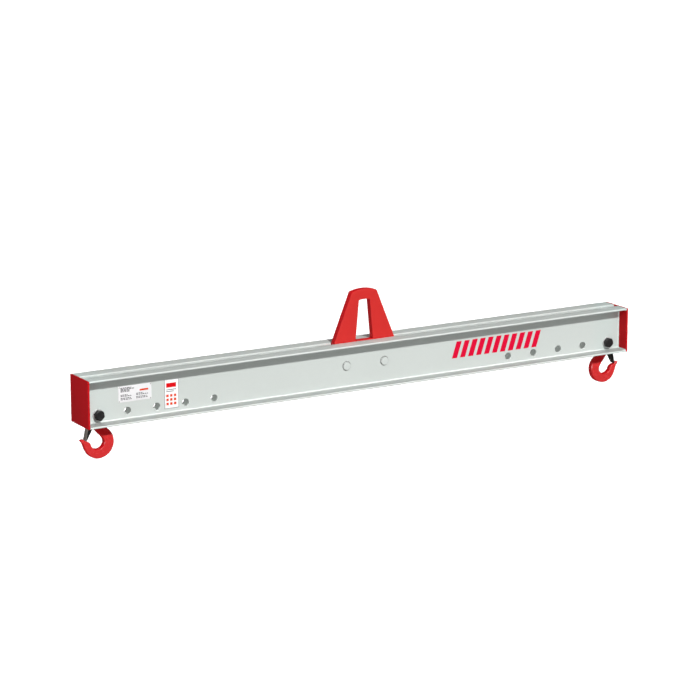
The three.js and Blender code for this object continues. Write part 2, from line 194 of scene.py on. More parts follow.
def inset(loop, d):
    """The loop moved by d towards its left side (into the material of a counter-clockwise outline)."""
    n, out = len(loop), []
    for k in range(n):
        a, b, c = loop[k - 1], loop[k], loop[(k + 1) % n]
        e1 = Vector((b[0] - a[0], b[1] - a[1])).normalized()
        e2 = Vector((c[0] - b[0], c[1] - b[1])).normalized()
        n1, n2 = Vector((-e1.y, e1.x)), Vector((-e2.y, e2.x))
        s = (n1 + n2) / max(0.25, 1 + n1.dot(n2))
        out.append((b[0] + s.x * d, b[1] + s.y * d))
    return out


def plate(name, outer, holes, w0, w1, bevel=1.0, seg=3, axis="Y", hole_bevel=None):
    """A plate of the given outline with rounded edges. The outline is (X, Z) and the thickness
    runs along Y, or the outline is (Y, Z) and the thickness runs along X."""
    loops = []
    for k, lp in enumerate([outer, *holes]):
        lp = clean_loop(lp)
        if (area2(lp) > 0) != (k == 0):
            lp = lp[::-1]
        loops.append((lp, bevel if k == 0 or hole_bevel is None else hole_bevel))
    bm = bmesh.new()
    caps = {0: [], 1: []}

    def vert(p, w):
        return bm.verts.new((p[0], w, p[1]) if axis == "Y" else (w, p[0], p[1]))

    for lp, bv in loops:
        rings = []
        steps = seg if bv > 0 else 0
        for k in range(steps + 1):
            a = math.pi / 2 * k / max(1, steps)
            d, h = (bv * (1 - math.sin(a)), bv * (1 - math.cos(a))) if steps else (0, 0)
            rings.append((inset(lp, d), w0 + h))
        for k in range(steps + 1):
            a = math.pi / 2 * (1 - k / max(1, steps))
            d, h = (bv * (1 - math.sin(a)), bv * (1 - math.cos(a))) if steps else (0, 0)
            rings.append((inset(lp, d), w1 - h))
        vs = [[vert(p, w) for p in pts] for pts, w in rings]
        n = len(lp)
        for r in range(len(vs) - 1):
            for k in range(n):
                bm.faces.new((vs[r][k], vs[r][(k + 1) % n], vs[r + 1][(k + 1) % n], vs[r + 1][k]))
        caps[0].append(vs[0])
        caps[1].append(vs[-1])
    bm.edges.ensure_lookup_table()
    for side in (0, 1):
        if len(caps[side]) == 1:
            bm.faces.new(caps[side][0])
        else:
            edges = []
            for vs in caps[side]:
                for k in range(len(vs)):
                    edges.append(bm.edges.get((vs[k], vs[(k + 1) % len(vs)])))
            bmesh.ops.triangle_fill(bm, use_beauty=True, use_dissolve=False, edges=edges)
    bmesh.ops.remove_doubles(bm, verts=bm.verts, dist=1e-5)
    bmesh.ops.recalc_face_normals(bm, faces=bm.faces)
    if bm.calc_volume(signed=True) < 0:
        bmesh.ops.reverse_faces(bm, faces=bm.faces)
    me = bpy.data.meshes.new(name)
    bm.to_mesh(me)
    bm.free()
    return link(bpy.data.objects.new(name, me))


def lathe(name, profile, seg=64, x=0.0, z=0.0, closed=False):
    """A turned piece about the Y axis through (x, z). The profile is (radius, y); an open one
    starts and ends on the axis."""
    verts, faces, rings = [], [], []
    for r, y in profile:
        if r < 1e-6:
            rings.append([len(verts)])
            verts.append((x, y, z))
        else:
            rings.append(list(range(len(verts), len(verts) + seg)))
            verts += [
                (
                    x + r * math.cos(2 * math.pi * k / seg),
                    y,
                    z + r * math.sin(2 * math.pi * k / seg),
                )
                for k in range(seg)
            ]
    pairs = list(zip(rings, rings[1:])) + ([(rings[-1], rings[0])] if closed else [])
    for a, b in pairs:
        for k in range(seg):
            k2 = (k + 1) % seg
            if len(a) == 1 and len(b) == 1:
                continue
            if len(a) == 1:
                faces.append((a[0], b[k], b[k2]))
            elif len(b) == 1:
                faces.append((a[k], a[k2], b[0]))
            else:
                faces.append((a[k], a[k2], b[k2], b[k]))
    return raw(name, verts, faces)


def rounded(points, radii, n=5):
    """A polyline profile with its inner corners rounded by the radii given."""
    out = [points[0]]
    for k in range(1, len(points) - 1):
        a, b, c = (Vector(points[i]) for i in (k - 1, k, k + 1))
        r = radii[k]
        if not r:
            out.append(tuple(b))
            continue
        u, v = (a - b).normalized(), (c - b).normalized()
        half = math.acos(max(-1, min(1, u.dot(v)))) / 2
        t = min(r / math.tan(half), (a - b).length * 0.49, (c - b).length * 0.49)
        p, q = b + u * t, b + v * t
        for i in range(n + 1):
            s = i / n
            out.append(tuple((1 - s) ** 2 * p + 2 * s * (1 - s) * b + s * s * q))
    out.append(points[-1])
    return out


def tube(name, pts, radius, seg=12, taper=0.0):
    """A round wire along the points, with rounded ends."""
    pts = [Vector(p) for p in pts]
    n = len(pts)
    tang = [(pts[min(n - 1, k + 1)] - pts[max(0, k - 1)]).normalized() for k in range(n)]
    up = Vector((0, 1, 0)) if abs(tang[0].y) < 0.9 else Vector((1, 0, 0))
    nrm = (up - tang[0] * up.dot(tang[0])).normalized()
    verts, faces, rows = [], [], []
    for k in range(n):
        nrm = (nrm - tang[k] * nrm.dot(tang[k])).normalized()
        bi = tang[k].cross(nrm)
        ends = [(0.0, 1.0)]
        if k == 0:
            ends = [(-radius * 0.9, 0.35), (-radius * 0.55, 0.8), (0.0, 1.0)]
        elif k == n - 1:
            ends = [(0.0, 1.0), (radius * 0.55, 0.8), (radius * 0.9, 0.35)]
        for off, f in ends:
            rows.append(list(range(len(verts), len(verts) + seg)))
            for i in range(seg):
                a = 2 * math.pi * i / seg
                verts.append(
                    pts[k] + tang[k] * off + (nrm * math.cos(a) + bi * math.sin(a)) * radius * f
                )
    for a, b in zip(rows, rows[1:]):
        for i in range(seg):
            faces.append((a[i], a[(i + 1) % seg], b[(i + 1) % seg], b[i]))
    faces.append(tuple(rows[0][::-1]))
    faces.append(tuple(rows[-1]))
    return raw(name, verts, faces)


def prisms(name, polys, y_back, y_front):
    """Thin printed or cut marks: each polygon is (X, Z) and stands from y_back to y_front."""
    verts, faces = [], []
    for poly in polys:
        n, b = len(poly), len(verts)
        verts += [(x, y_back, z) for x, z in poly] + [(x, y_front, z) for x, z in poly]
        faces.append(tuple(range(b, b + n)))
        faces.append(tuple(range(b + 2 * n - 1, b + n - 1, -1)))
        for k in range(n):
            k2 = (k + 1) % n
            faces.append((b + k, b + k2, b + n + k2, b + n + k))
    me = bpy.data.meshes.new(name)
    me.from_pydata(verts, [], faces)
    bm = bmesh.new()
    bm.from_mesh(me)
    bmesh.ops.recalc_face_normals(bm, faces=bm.faces)
    bm.to_mesh(me)
    bm.free()
    return link(bpy.data.objects.new(name, me))


def rect(x0, z0, x1, z1):
    return [(x0, z0), (x1, z0), (x1, z1), (x0, z1)]


def rounded_rect(x0, z0, x1, z1, r, n=5):
    return (
        arc(x1 - r, z0 + r, r, -90, 0, n)
        + arc(x1 - r, z1 - r, r, 0, 90, n)
        + arc(x0 + r, z1 - r, r, 90, 180, n)
        + arc(x0 + r, z0 + r, r, 180, 270, n)
    )


# ------------------------------------------------------------------ materials
def lin(r, g, b):
    return tuple(
        (c / 255 / 12.92) if c / 255 <= 0.04045 else ((c / 255 + 0.055) / 1.055) ** 2.4
        for c in (r, g, b)
    )


class Mat:
    """A small builder for node materials: object coordinates in, one Principled shader out."""

    def __init__(self, name):
        self.m = bpy.data.materials.new(name)
        self.m.use_nodes = True
        self.t = self.m.node_tree
        self.t.nodes.clear()
        out = self.n("OutputMaterial")
        self.b = self.n("BsdfPrincipled")
        self.l(self.b.outputs[0], out.inputs[0])
        self.co = self.n("TexCoord").outputs["Object"]

    def n(self, kind, **props):
        node = self.t.nodes.new("ShaderNode" + kind)
        for k, v in props.items():
            setattr(node, k, v)
        return node

    def l(self, a, b):
        self.t.links.new(a, b)

    def noise(self, scale, detail=2.0, rough=0.5, stretch=None, offset=(0, 0, 0)):
        co = self.co
        if stretch or any(offset):
            mp = self.n("Mapping")
            mp.inputs["Scale"].default_value = stretch or (1, 1, 1)
            mp.inputs["Location"].default_value = offset
            self.l(co, mp.inputs["Vector"])
            co = mp.outputs["Vector"]
        t = self.n("TexNoise")
        t.inputs["Scale"].default_value = scale
        t.inputs["Detail"].default_value = detail
        t.inputs["Roughness"].default_value = rough
        self.l(co, t.inputs["Vector"])
        return t.outputs["Fac"]

    def axis(self, output, index):
        """One component of the object coordinate or of the object's surface normal."""
        tc, sep = self.n("TexCoord"), self.n("SeparateXYZ")
        self.l(tc.outputs[output], sep.inputs[0])
        return sep.outputs[index]

    def cells(self, scale, feature="F1"):
        t = self.n("TexVoronoi", feature=feature)
        t.inputs["Scale"].default_value = scale
        self.l(self.co, t.inputs["Vector"])
        return t.outputs["Distance"]

    def span(self, value, a, b, lo, hi, smooth=False):
        r = self.n("MapRange")
        if smooth:
            r.interpolation_type = "SMOOTHSTEP"
        for k, v in (("From Min", a), ("From Max", b), ("To Min", lo), ("To Max", hi)):
            r.inputs[k].default_value = v
        self.l(value, r.inputs["Value"])
        return r.outputs["Result"]

    def math(self, op, a, b):
        m = self.n("Math", operation=op)
        for k, v in ((0, a), (1, b)):
            if isinstance(v, (int, float)):
                m.inputs[k].default_value = v
            else:
                self.l(v, m.inputs[k])
        return m.outputs[0]

    def mix(self, fac, a, b):
        m = self.n("Mix", data_type="RGBA")
        self.l(fac, m.inputs["Factor"])
        for sock, v in ((m.inputs[6], a), (m.inputs[7], b)):
            if isinstance(v, tuple):
                sock.default_value = (*v[:3], 1)
            else:
                self.l(v, sock)
        return m.outputs[2]

    def bump(self, heights):
        """heights: (value, strength, distance in metres) in turn."""
        normal = None
        for value, strength, distance in heights:
            b = self.n("Bump")
            b.inputs["Strength"].default_value = strength
            b.inputs["Distance"].default_value = distance
            self.l(value, b.inputs["Height"])
            if normal is not None:
                self.l(normal, b.inputs["Normal"])
            normal = b.outputs["Normal"]
        self.l(normal, self.b.inputs["Normal"])

    def set(self, **kw):
        for k, v in kw.items():
            sock = self.b.inputs[k.replace("_", " ")]
            if isinstance(v, tuple):
                sock.default_value = (*v[:3], 1)
            elif isinstance(v, (int, float)):
                sock.default_value = v
            else:
                self.l(v, sock)
        return self


def scaled(c, f):
    return tuple(min(1.0, x * f) for x in c)


def paint(name, base, rough=0.42, spec=0.3, tone=0.03, dust=(0.35, 0.34, 0.31), dusty=0.05,
          peel=0.10, coarse=0.0, seed=0.0, ledge=None, painted_sheen=None, ends=None):
    """Sprayed paint on steel: broad tone drift, fine mottling, settled dust, orange peel.
    ledge: (height, factor), the faces that look up below that height are darkened by that factor, a painted shade.
    faded: (height, colour), the faces that look forward or back below that height take that paler colour, a painted
    sheen; the faces that look sideways keep the base colour.
    ends: colours painted at the left and the right end, a painted light that offsets the end plates' shade and red
    bounce there."""
    k = Mat(name)
    off = (seed, seed * 0.7, seed * 1.3)
    broad = k.noise(4.0, 3, 0.55, offset=off)
    mottle = k.noise(55.0, 4, 0.6, offset=off)
    fine = k.noise(520.0, 2, 0.5)
    c = k.mix(k.span(broad, 0.3, 0.7, 0, 1), scaled(base, 1 - tone), scaled(base, 1 + tone))
    c = k.mix(k.span(mottle, 0.35, 0.75, 0, 0.5), c, scaled(base, 1 - 1.6 * tone))
    # painted light: near each end the colour shifts to a tint that offsets the shade and red bounce of the end
    # plates
    if ends:
        x = k.axis("Object", 0)
        c = k.mix(k.span(x, -0.86, -0.995, 0, 1, True), c, ends[0])
        c = k.mix(k.span(x, 0.86, 0.995, 0, 1, True), c, ends[1])
    # painted sheen: below the height, the faces that look forward or back take the paler colour; the faces that look
    # sideways keep the deeper base colour
    if painted_sheen:
        sheen_faces = k.span(k.math("ABSOLUTE", k.axis("Normal", 1), 0.0), 0.60, 0.93, 0, 1, True)
        low = k.span(k.axis("Object", 2), painted_sheen[0] - 0.004, painted_sheen[0] + 0.004, 1, 0, True)
        c = k.mix(k.math("MULTIPLY", sheen_faces, low), c, painted_sheen[1])
    specks = k.span(k.noise(170.0, 3, 0.65, offset=off), 0.66, 0.78, 0, 1, True)
    patches = k.span(broad, 0.42, 0.62, 0.15, 1)
    c = k.mix(k.math("MULTIPLY", k.math("MULTIPLY", specks, patches), dusty * 4), c, dust)
    film = k.math("MULTIPLY", k.span(mottle, 0.4, 0.8, 0, 1), dusty)
    c = k.mix(film, c, dust)
    # painted shade: the faces that look up below the ledge height are darkened
    if ledge:
        up = k.span(k.axis("Normal", 2), 0.80, 0.97, 0, 1, True)
        low = k.span(k.axis("Object", 2), ledge[0], ledge[0] + 0.004, 1, 0, True)
        ledge_shade = k.math("MULTIPLY", up, k.math("MULTIPLY", low, k.span(mottle, 0.25, 0.7, 0.88, 1.0)))
        c = k.mix(ledge_shade, c, scaled(base, ledge[1]))
    r = k.math("ADD", k.span(mottle, 0.3, 0.75, rough - 0.05, rough + 0.06),
               k.span(fine, 0.3, 0.7, -0.02, 0.02))
    k.set(Base_Color=c, Roughness=r, Specular_IOR_Level=spec)
    heights = [(k.noise(230.0, 2, 0.45), peel, 0.0006), (fine, peel * 0.5, 0.0003)]
    if coarse:
        heights.insert(0, (k.noise(70.0, 4, 0.6, offset=off), coarse, 0.0012))
    k.bump(heights)
    return k.m


GREY = (0.508, 0.540, 0.518)

# the channels' paint: ledge darkens the lower flange's upper face, a painted shade; ends paints a tint near the end
# plates, a painted light
M_GREY = paint("channel_paint", GREY, rough=0.46, spec=0.45, tone=0.012, dusty=0.018, peel=0.08,
               ledge=(-0.272, 0.61), ends=((0.540, 0.600, 0.575), (0.480, 0.552, 0.530)))
# painted sheen: the lug's faces that look forward or back are paler than its sides
M_RED = paint("red_paint", (0.600, 0.0045, 0.0080), rough=0.44, spec=0.10, tone=0.025, dusty=0.005, peel=0.08,
              dust=(0.40, 0.05, 0.045), seed=3.0, painted_sheen=(1.0, (0.508, 0.0225, 0.0200)))
# painted shade: a darker copy of the red paint for the end plates, whose large faces look sideways away from the key
# light
M_END_SHADED = paint("red_paint_ends_shaded", (0.472, 0.0045, 0.0085), rough=0.44, spec=0.05, tone=0.025, dusty=0.006,
              peel=0.08, dust=(0.38, 0.04, 0.04), seed=5.0)
# painted light: below the line of the beam's shadow, the hook's faces that look forward or back are paler, a painted
# sheen; above that line and on the sides, the deeper colour stands for shade
M_HOOK = paint("hook_paint", (0.545, 0.0030, 0.0070), rough=0.26, spec=0.26, tone=0.035, dusty=0.005,
               dust=(0.38, 0.05, 0.045), peel=0.07, coarse=0.16, seed=7.0,
               painted_sheen=(-0.3225, (0.505, 0.024, 0.025)))


def black_finish():
    """Blackened fastener steel with worn spots; the sides and chamfers of the hexagon are darker than its end faces,
    a painted shade.
    """
    k = Mat("black_fastener")
    a = k.noise(160.0, 4, 0.6)
    b = k.noise(900.0, 2, 0.5)
    # painted shade: the first tone is for the sides and chamfers, darker than the second, for the end faces
    hex_side_shade = k.mix(k.span(a, 0.35, 0.7, 0, 1), (0.003, 0.003, 0.0033), (0.006, 0.006, 0.006))
    end_face_light = k.mix(k.span(a, 0.35, 0.7, 0, 1), (0.0105, 0.0105, 0.0110), (0.0175, 0.0172, 0.0168))
    end = k.math("ABSOLUTE", k.axis("Normal", 1), 0.0)
    c = k.mix(k.span(end, 0.90, 0.99, 0, 1, True), hex_side_shade, end_face_light)
    c = k.mix(k.span(k.noise(420.0, 3, 0.7), 0.66, 0.74, 0, 0.25, True), c, (0.07, 0.065, 0.06))
    k.set(Base_Color=c, Roughness=k.span(a, 0.3, 0.7, 0.36, 0.54), Metallic=0.0,
          Specular_IOR_Level=0.22)
    k.bump([(a, 0.12, 0.0005), (b, 0.08, 0.0002)])
    return k.m


def steel(name, dark, light, rough=0.38, along=(1, 1, 1), metallic=0.9, stain=None, stains=0.0):
    """Bare or burnished steel: drawn lines along one direction, blotches, slight stains."""
    k = Mat(name)
    a = k.noise(45.0, 5, 0.6)
    lines = k.noise(380.0, 3, 0.6, stretch=along)
    c = k.mix(k.span(lines, 0.3, 0.7, 0, 1), dark, light)
    c = k.mix(k.span(a, 0.4, 0.75, 0, 0.55), c, scaled(dark, 0.7))
    if stain:
        c = k.mix(k.span(k.noise(110.0, 5, 0.7), 0.55, 0.72, 0, stains, True), c, stain)
    k.set(Base_Color=c, Roughness=k.span(a, 0.3, 0.7, rough - 0.08, rough + 0.12),
          Metallic=metallic, Specular_IOR_Level=0.5)
    k.bump([(lines, 0.10, 0.0003), (k.noise(1100.0, 2, 0.5), 0.06, 0.0002)])
    return k.m


M_BLACK = black_finish()
M_STEEL = steel("bare_steel", (0.30, 0.29, 0.28), (0.46, 0.45, 0.43), 0.36,
                stain=(0.16, 0.10, 0.06), stains=0.25)


def latch_finish(name, outward):
    """Dark pressed sheet, blackened; the outer face (towards outward * X) is painted a lighter brownish grey with
    darker blotches, a painted reflection."""
    k = Mat(name)
    a = k.noise(45.0, 5, 0.6)
    lines = k.noise(380.0, 3, 0.6, stretch=(1, 6, 0.15))
    dark = k.mix(k.span(lines, 0.3, 0.7, 0, 1), (0.016, 0.015, 0.014), (0.035, 0.032, 0.029))
    # painted reflection: the lighter brownish grey of the outer face
    outer_sheen = k.mix(k.span(lines, 0.3, 0.7, 0, 1), (0.19, 0.175, 0.155), (0.30, 0.28, 0.25))
    outer_sheen = k.mix(k.span(k.noise(110.0, 5, 0.7), 0.52, 0.72, 0, 0.6, True), outer_sheen, (0.085, 0.062, 0.045))
    out = k.math("MULTIPLY", k.axis("Normal", 0), float(outward))
    back = k.math("MULTIPLY", k.span(out, 0.45, 0.75, 0, 1, True), k.span(a, 0.2, 0.6, 0.80, 1.0))
    k.set(Base_Color=k.mix(back, dark, outer_sheen), Roughness=k.span(a, 0.3, 0.7, 0.36, 0.54),
          Metallic=0.22, Specular_IOR_Level=0.3)
    k.bump([(lines, 0.10, 0.0003), (k.noise(1100.0, 2, 0.5), 0.06, 0.0002)])
    return k.m


M_LATCH = {s: latch_finish("latch_steel_" + n, s) for s, n in ((-1, "left"), (1, "right"))}
M_ZINC = steel("zinc_plate", (0.48, 0.49, 0.48), (0.60, 0.61, 0.605), 0.42, metallic=0.12,
               stain=(0.36, 0.36, 0.34), stains=0.3)
M_SPRING = steel("spring_steel", (0.22, 0.215, 0.21), (0.42, 0.41, 0.40), 0.30, along=(1, 6, 1))


def film(name, base, rough=0.3, spec=0.4, tone=0.02, coat=0.0, grain=0.04):
    """Printed foil or lacquered plate: faint print grain and fine scratches."""
    k = Mat(name)
    a = k.noise(70.0, 4, 0.6)
    g = k.noise(1400.0, 2, 0.5)
    s = k.noise(260.0, 3, 0.7, stretch=(0.12, 1, 1.0))
    c = k.mix(k.span(a, 0.35, 0.7, 0, 1), scaled(base, 1 - tone), scaled(base, 1 + tone))
    c = k.mix(k.span(g, 0.45, 0.8, 0, grain), c, scaled(base, 0.75))
    r = k.math("ADD", k.span(a, 0.3, 0.7, rough - 0.05, rough + 0.07),
               k.span(s, 0.6, 0.72, 0, 0.10, True))
    k.set(Base_Color=c, Roughness=r, Specular_IOR_Level=spec, Coat_Weight=coat)
    k.bump([(s, 0.03, 0.0002), (g, 0.03, 0.0001)])
    return k.m


M_PLATE = film("plate_white", (0.71, 0.70, 0.71), 0.34, 0.2)
M_LABEL = film("label_white", (0.82, 0.82, 0.82), 0.30, 0.2)
M_MARK = film("marking_red", (0.60, 0.002, 0.032), 0.36, 0.10, tone=0.03)
M_SIGN = film("label_orange", (0.62, 0.050, 0.012), 0.38, 0.10, tone=0.03)
M_BLOCK = film("label_red", (0.60, 0.002, 0.006), 0.38, 0.10, tone=0.03)
M_INK = film("plate_print", (0.090, 0.085, 0.093), 0.44, 0.15, tone=0.08)
M_DARK = film("label_print", (0.010, 0.010, 0.010), 0.44, 0.15, tone=0.08)
# painted shade: the dark ring on the web round each lug pin
M_PIN_JOINT_SHADE = film("pin_joint_shade", (0.215, 0.22, 0.215), 0.60, 0.10, tone=0.10)
# painted shade: the grey ring on each lug pin's face near its edge
M_PIN_RIM_SHADE = film("pin_rim_shade", (0.39, 0.405, 0.395), 0.55, 0.20, tone=0.06)
# painted shade: the dark band round the inspection label's edge
M_LABEL_EDGE_SHADE = film("label_edge_shade", (0.13, 0.13, 0.14), 0.44, 0.15, tone=0.08)


# ------------------------------------------------------------------ channels
def channel_profile():
    t, f, h, r = TOE_R, FLANGE_T, BEAM_H, ROOT_R
    p = []
    p += arc(OUT - t, t, t, -90, 0, 6)
    p += arc(OUT - t, f - t, t, 0, 90, 6)
    p += arc(WEB + r, f + r, r, -90, -180, 12)
    p += arc(WEB + r, h - f - r, r, 180, 90, 12)
    p += arc(OUT - t, h - f + t, t, -90, 0, 6)
    p += arc(OUT - t, h - t, t, 0, 90, 6)
    p += arc(IN + t, h - t, t, 90, 180, 6)
    p += arc(IN + t, t, t, 180, 270, 6)
    return clean_loop(p)


def channel(name, side):
    prof = channel_profile()
    n = len(prof)
    verts = [(x, y, z) for x in (-CHANNEL_L / 2, CHANNEL_L / 2) for y, z in prof]
    faces = [(k, (k + 1) % n, n + (k + 1) % n, n + k) for k in range(n)]
    faces += [tuple(range(n)), tuple(range(2 * n - 1, n - 1, -1))]
    ob = raw(name, verts, faces)
    cutters = []

    def bore(r, x, z, e=0.7):
        p = [(0, IN - 3), (r + e + 3, IN - 3), (r, IN + e), (r, WEB - e), (r + e + 3, WEB + 3), (0, WEB + 3)]
        return lathe("cut", p, 64, x, z)

    for d in (-1, 1):
        cutters += [bore(HOLE_D / 2, d * x, HOLE_Z) for x in HOLE_XS]
        cutters.append(bore(PIN_R + 0.6, d * PIN_X, PIN_Z, 0.5))
    combine(ob, [merge("cutters", cutters)])
    if side < 0:
        place(ob, turn=True)
    return ob


for name, side in (("channel_front", -1), ("channel_rear", 1)):
    done(channel(name + "_section", side), M_GREY, "beam", (name,))


# ------------------------------------------------------------------ end plates and welds
for name, d in (("end_plate_left", -1), ("end_plate_right", 1)):
    x0 = CHANNEL_L / 2 + GAP
    w = sorted((d * x0, d * (x0 + END_T)))
    ob = plate(name + "_sheet", rounded_rect(-OUT, 0, OUT, BEAM_H, 2.0, 6), [], w[0], w[1],
               0.9, 4, axis="X")
    done(ob, M_END_SHADED, "beam", (name,))


def bead(name, path, normals, toward, x_face, leg=4.0, seed=0):
    """A fillet weld between the end plate and a channel: path and normals in (Y, Z),
    toward is the X direction away from the plate."""
    rnd = random.Random(seed)
    verts, faces, rows = [], [], []
    n = len(path)
    phase = rnd.random() * 6
    for k, ((y, z), (ny, nz)) in enumerate(zip(path, normals)):
        s = k * 0.55
        ripple = ((s / 2.4 + 0.25 * math.sin(s * 0.13 + phase)) % 1.0)
        size = leg * (0.92 + 0.10 * math.sqrt(ripple) + 0.07 * noise.noise(Vector((s * 0.09, seed, 0))))
        size *= min(1.0, 0.25 + 0.75 * min(k, n - 1 - k) / 5)
        row = []
        for j in range(9):
            a = math.pi / 2 * j / 8
            bulge = 0.80 + 0.06 * math.sin(2 * a)
            ca, sa = math.cos(a), math.sin(a)
            rr = size * bulge / max(ca + sa, 1e-6) * 1.16
            row.append((x_face + toward * rr * ca - toward * 0.25, y + ny * (rr * sa - 0.25),
                        z + nz * (rr * sa - 0.25)))
        row.append((x_face - toward * 0.3, y - ny * 0.3, z - nz * 0.3))
        rows.append(list(range(len(verts), len(verts) + len(row))))
        verts += row
    m = len(rows[0])
    for a, b in zip(rows, rows[1:]):
        for j in range(m):
            faces.append((a[j], a[(j + 1) % m], b[(j + 1) % m], b[j]))
    faces += [tuple(rows[0][::-1]), tuple(rows[-1])]
    return raw(name, verts, faces)


def contour(step=0.55):
    """The channel's inner face from toe to toe, with its outward normals, every step mm."""
    f, h, r = FLANGE_T, BEAM_H, ROOT_R
    key = [(OUT - 2.2, f), (WEB + r, f)]
    key += arc(WEB + r, f + r, r, -90, -180, 16)
    key += [(WEB, h - f - r)]
    key += arc(WEB + r, h - f - r, r, 180, 90, 16)
    key += [(OUT - 2.2, h - f)]
    key = [Vector(p) for p in clean_loop(key)]
    pts, left = [key[0]], 0.0
    for a, b in zip(key, key[1:]):
        length, pos = (b - a).length, step - left
        while pos <= length:
            pts.append(a + (b - a) * pos / length)
            pos += step
        left = length - (pos - step)
    out, nor = [], []
    for k, p in enumerate(pts):
        t = (pts[min(len(pts) - 1, k + 1)] - pts[max(0, k - 1)]).normalized()
        out.append((p.x, p.y))
        nor.append((t.y, -t.x))
    return out, nor


PATH, NORMALS = contour()
# the outline runs toe, lower flange, web, upper flange, toe: its clear side is to the right
for s, sn in ((-1, "front"), (1, "rear")):
    for d, dn in ((-1, "left"), (1, "right")):
        path = [(y * s, z) for y, z in PATH]
        nor = [(ny * s, nz) for ny, nz in NORMALS]
        ob = bead(f"weld_{sn}_{dn}", path, nor, -d, d * (CHANNEL_L / 2 + GAP), 3.6,
                  seed=3 + s * 2 + d)
        done(ob, M_GREY, "beam", sharp=60)


# ------------------------------------------------------------------ suspension lug
def quad(p, c, q, n=8):
    return [
        (
            (1 - t) ** 2 * p[0] + 2 * t * (1 - t) * c[0] + t * t * q[0],
            (1 - t) ** 2 * p[1] + 2 * t * (1 - t) * c[1] + t * t * q[1],
        )
        for t in (k / n for k in range(n + 1))
    ]


def lug():
    b, c, sz, cz, R = 112.0, 45.9, 311.1, 318.3, 150.0
    slope = (b - c) / (sz - BEAM_H)
    a = math.degrees(math.asin(43 / R))
    crown = cz - R + math.sqrt(R * R - 43 * 43)
    o = [(-b + 25, 30), (b - 25, 30), (b, 55), (b, BEAM_H)]
    o += quad((c + slope * 3, sz - 3), (c, sz), (43, crown))
    o += arc(0, cz - R, R, 90 - a, 90 + a, 28)
    o += quad((-43, crown), (-c, sz), (-c - slope * 3, sz - 3))
    o += [(-b, BEAM_H), (-b, 55)]
    e0, e1, r = 32.5, 20.1, 92.0
    top = lambda x: EYE_Z - r + math.sqrt(r * r - x * x)
    t = math.degrees(math.asin(16.5 / r))
    h = quad((e0 - 4, 151.5), (e0, 151.5), (e0 - 0.4, 155.5), 6)
    h += quad((e1 + 0.4, 277), (e1, 282.6), (16.5, top(16.5)), 6)
    h += arc(0, EYE_Z - r, r, 90 - t, 90 + t, 14)
    h += quad((-16.5, top(16.5)), (-e1, 282.6), (-e1 - 0.4, 277), 6)
    h += quad((-e0 + 0.4, 155.5), (-e0, 151.5), (-e0 + 4, 151.5), 6)
    pins = [arc(d * PIN_X, PIN_Z, PIN_R + 0.25, 0, 360, 48) for d in (-1, 1)]
    return plate("suspension_lug_plate", o, [h, *pins], -11, 11, 1.3, 5, hole_bevel=1.3)


done(lug(), M_RED, "beam", ("suspension_lug",), sharp=40)


def ringed(name, y0, y1, r0, r1, e=0.4, seg=96):
    m = (y0 + y1) / 2
    p = rounded([(r0, m), (r0, y0), (r1, y0), (r1, y1), (r0, y1), (r0, m)], [0, e, e, e, e, 0], 4)
    return lathe(name, p[:-1], seg, closed=True)


for sn, d in (("left", -1), ("right", 1)):
    half = WEB + PIN_PROUD
    p = rounded([(0, -half), (PIN_R, -half), (PIN_R, half), (0, half)], [0, 0.8, 0.8, 0], 5)
    ob = lathe(f"lug_pin_{sn}_round", p, 72, d * PIN_X, PIN_Z)
    done(ob, M_GREY, "beam", (f"lug_pin_{sn}",))
    for wn, t in (("front", False), ("rear", True)):
        # the seam between pin and web: a dark ring painted on the web round the pin, a painted shade for the joint
        # and the pin's shadow
        ob = ringed(f"lug_pin_{sn}_joint_shade_{wn}", -(WEB + 0.12), -(WEB - 0.10), PIN_R + 0.5, PIN_R + 2.3, 0.05)
        place(ob, turn=t)
        place(ob, (d * PIN_X, 0, PIN_Z))
        done(ob, M_PIN_JOINT_SHADE, "beam")
        # a grey ring painted on the pin's face just inside its turned edge, a painted shade outlining the rim
        ob = ringed(f"lug_pin_{sn}_rim_shade_{wn}", -(half + 0.05), -(half - 0.10), PIN_R - 1.75, PIN_R - 0.75, 0.04)
        place(ob, turn=t)
        place(ob, (d * PIN_X, 0, PIN_Z))
        done(ob, M_PIN_RIM_SHADE, "beam")


# ------------------------------------------------------------------ hook bolts
AF, AC = 30.0, 30.0 / math.sqrt(3)


def hex_radius(a):
    a = (a + math.pi / 6) % (math.pi / 3) - math.pi / 6
    return AF / 2 / math.cos(a)


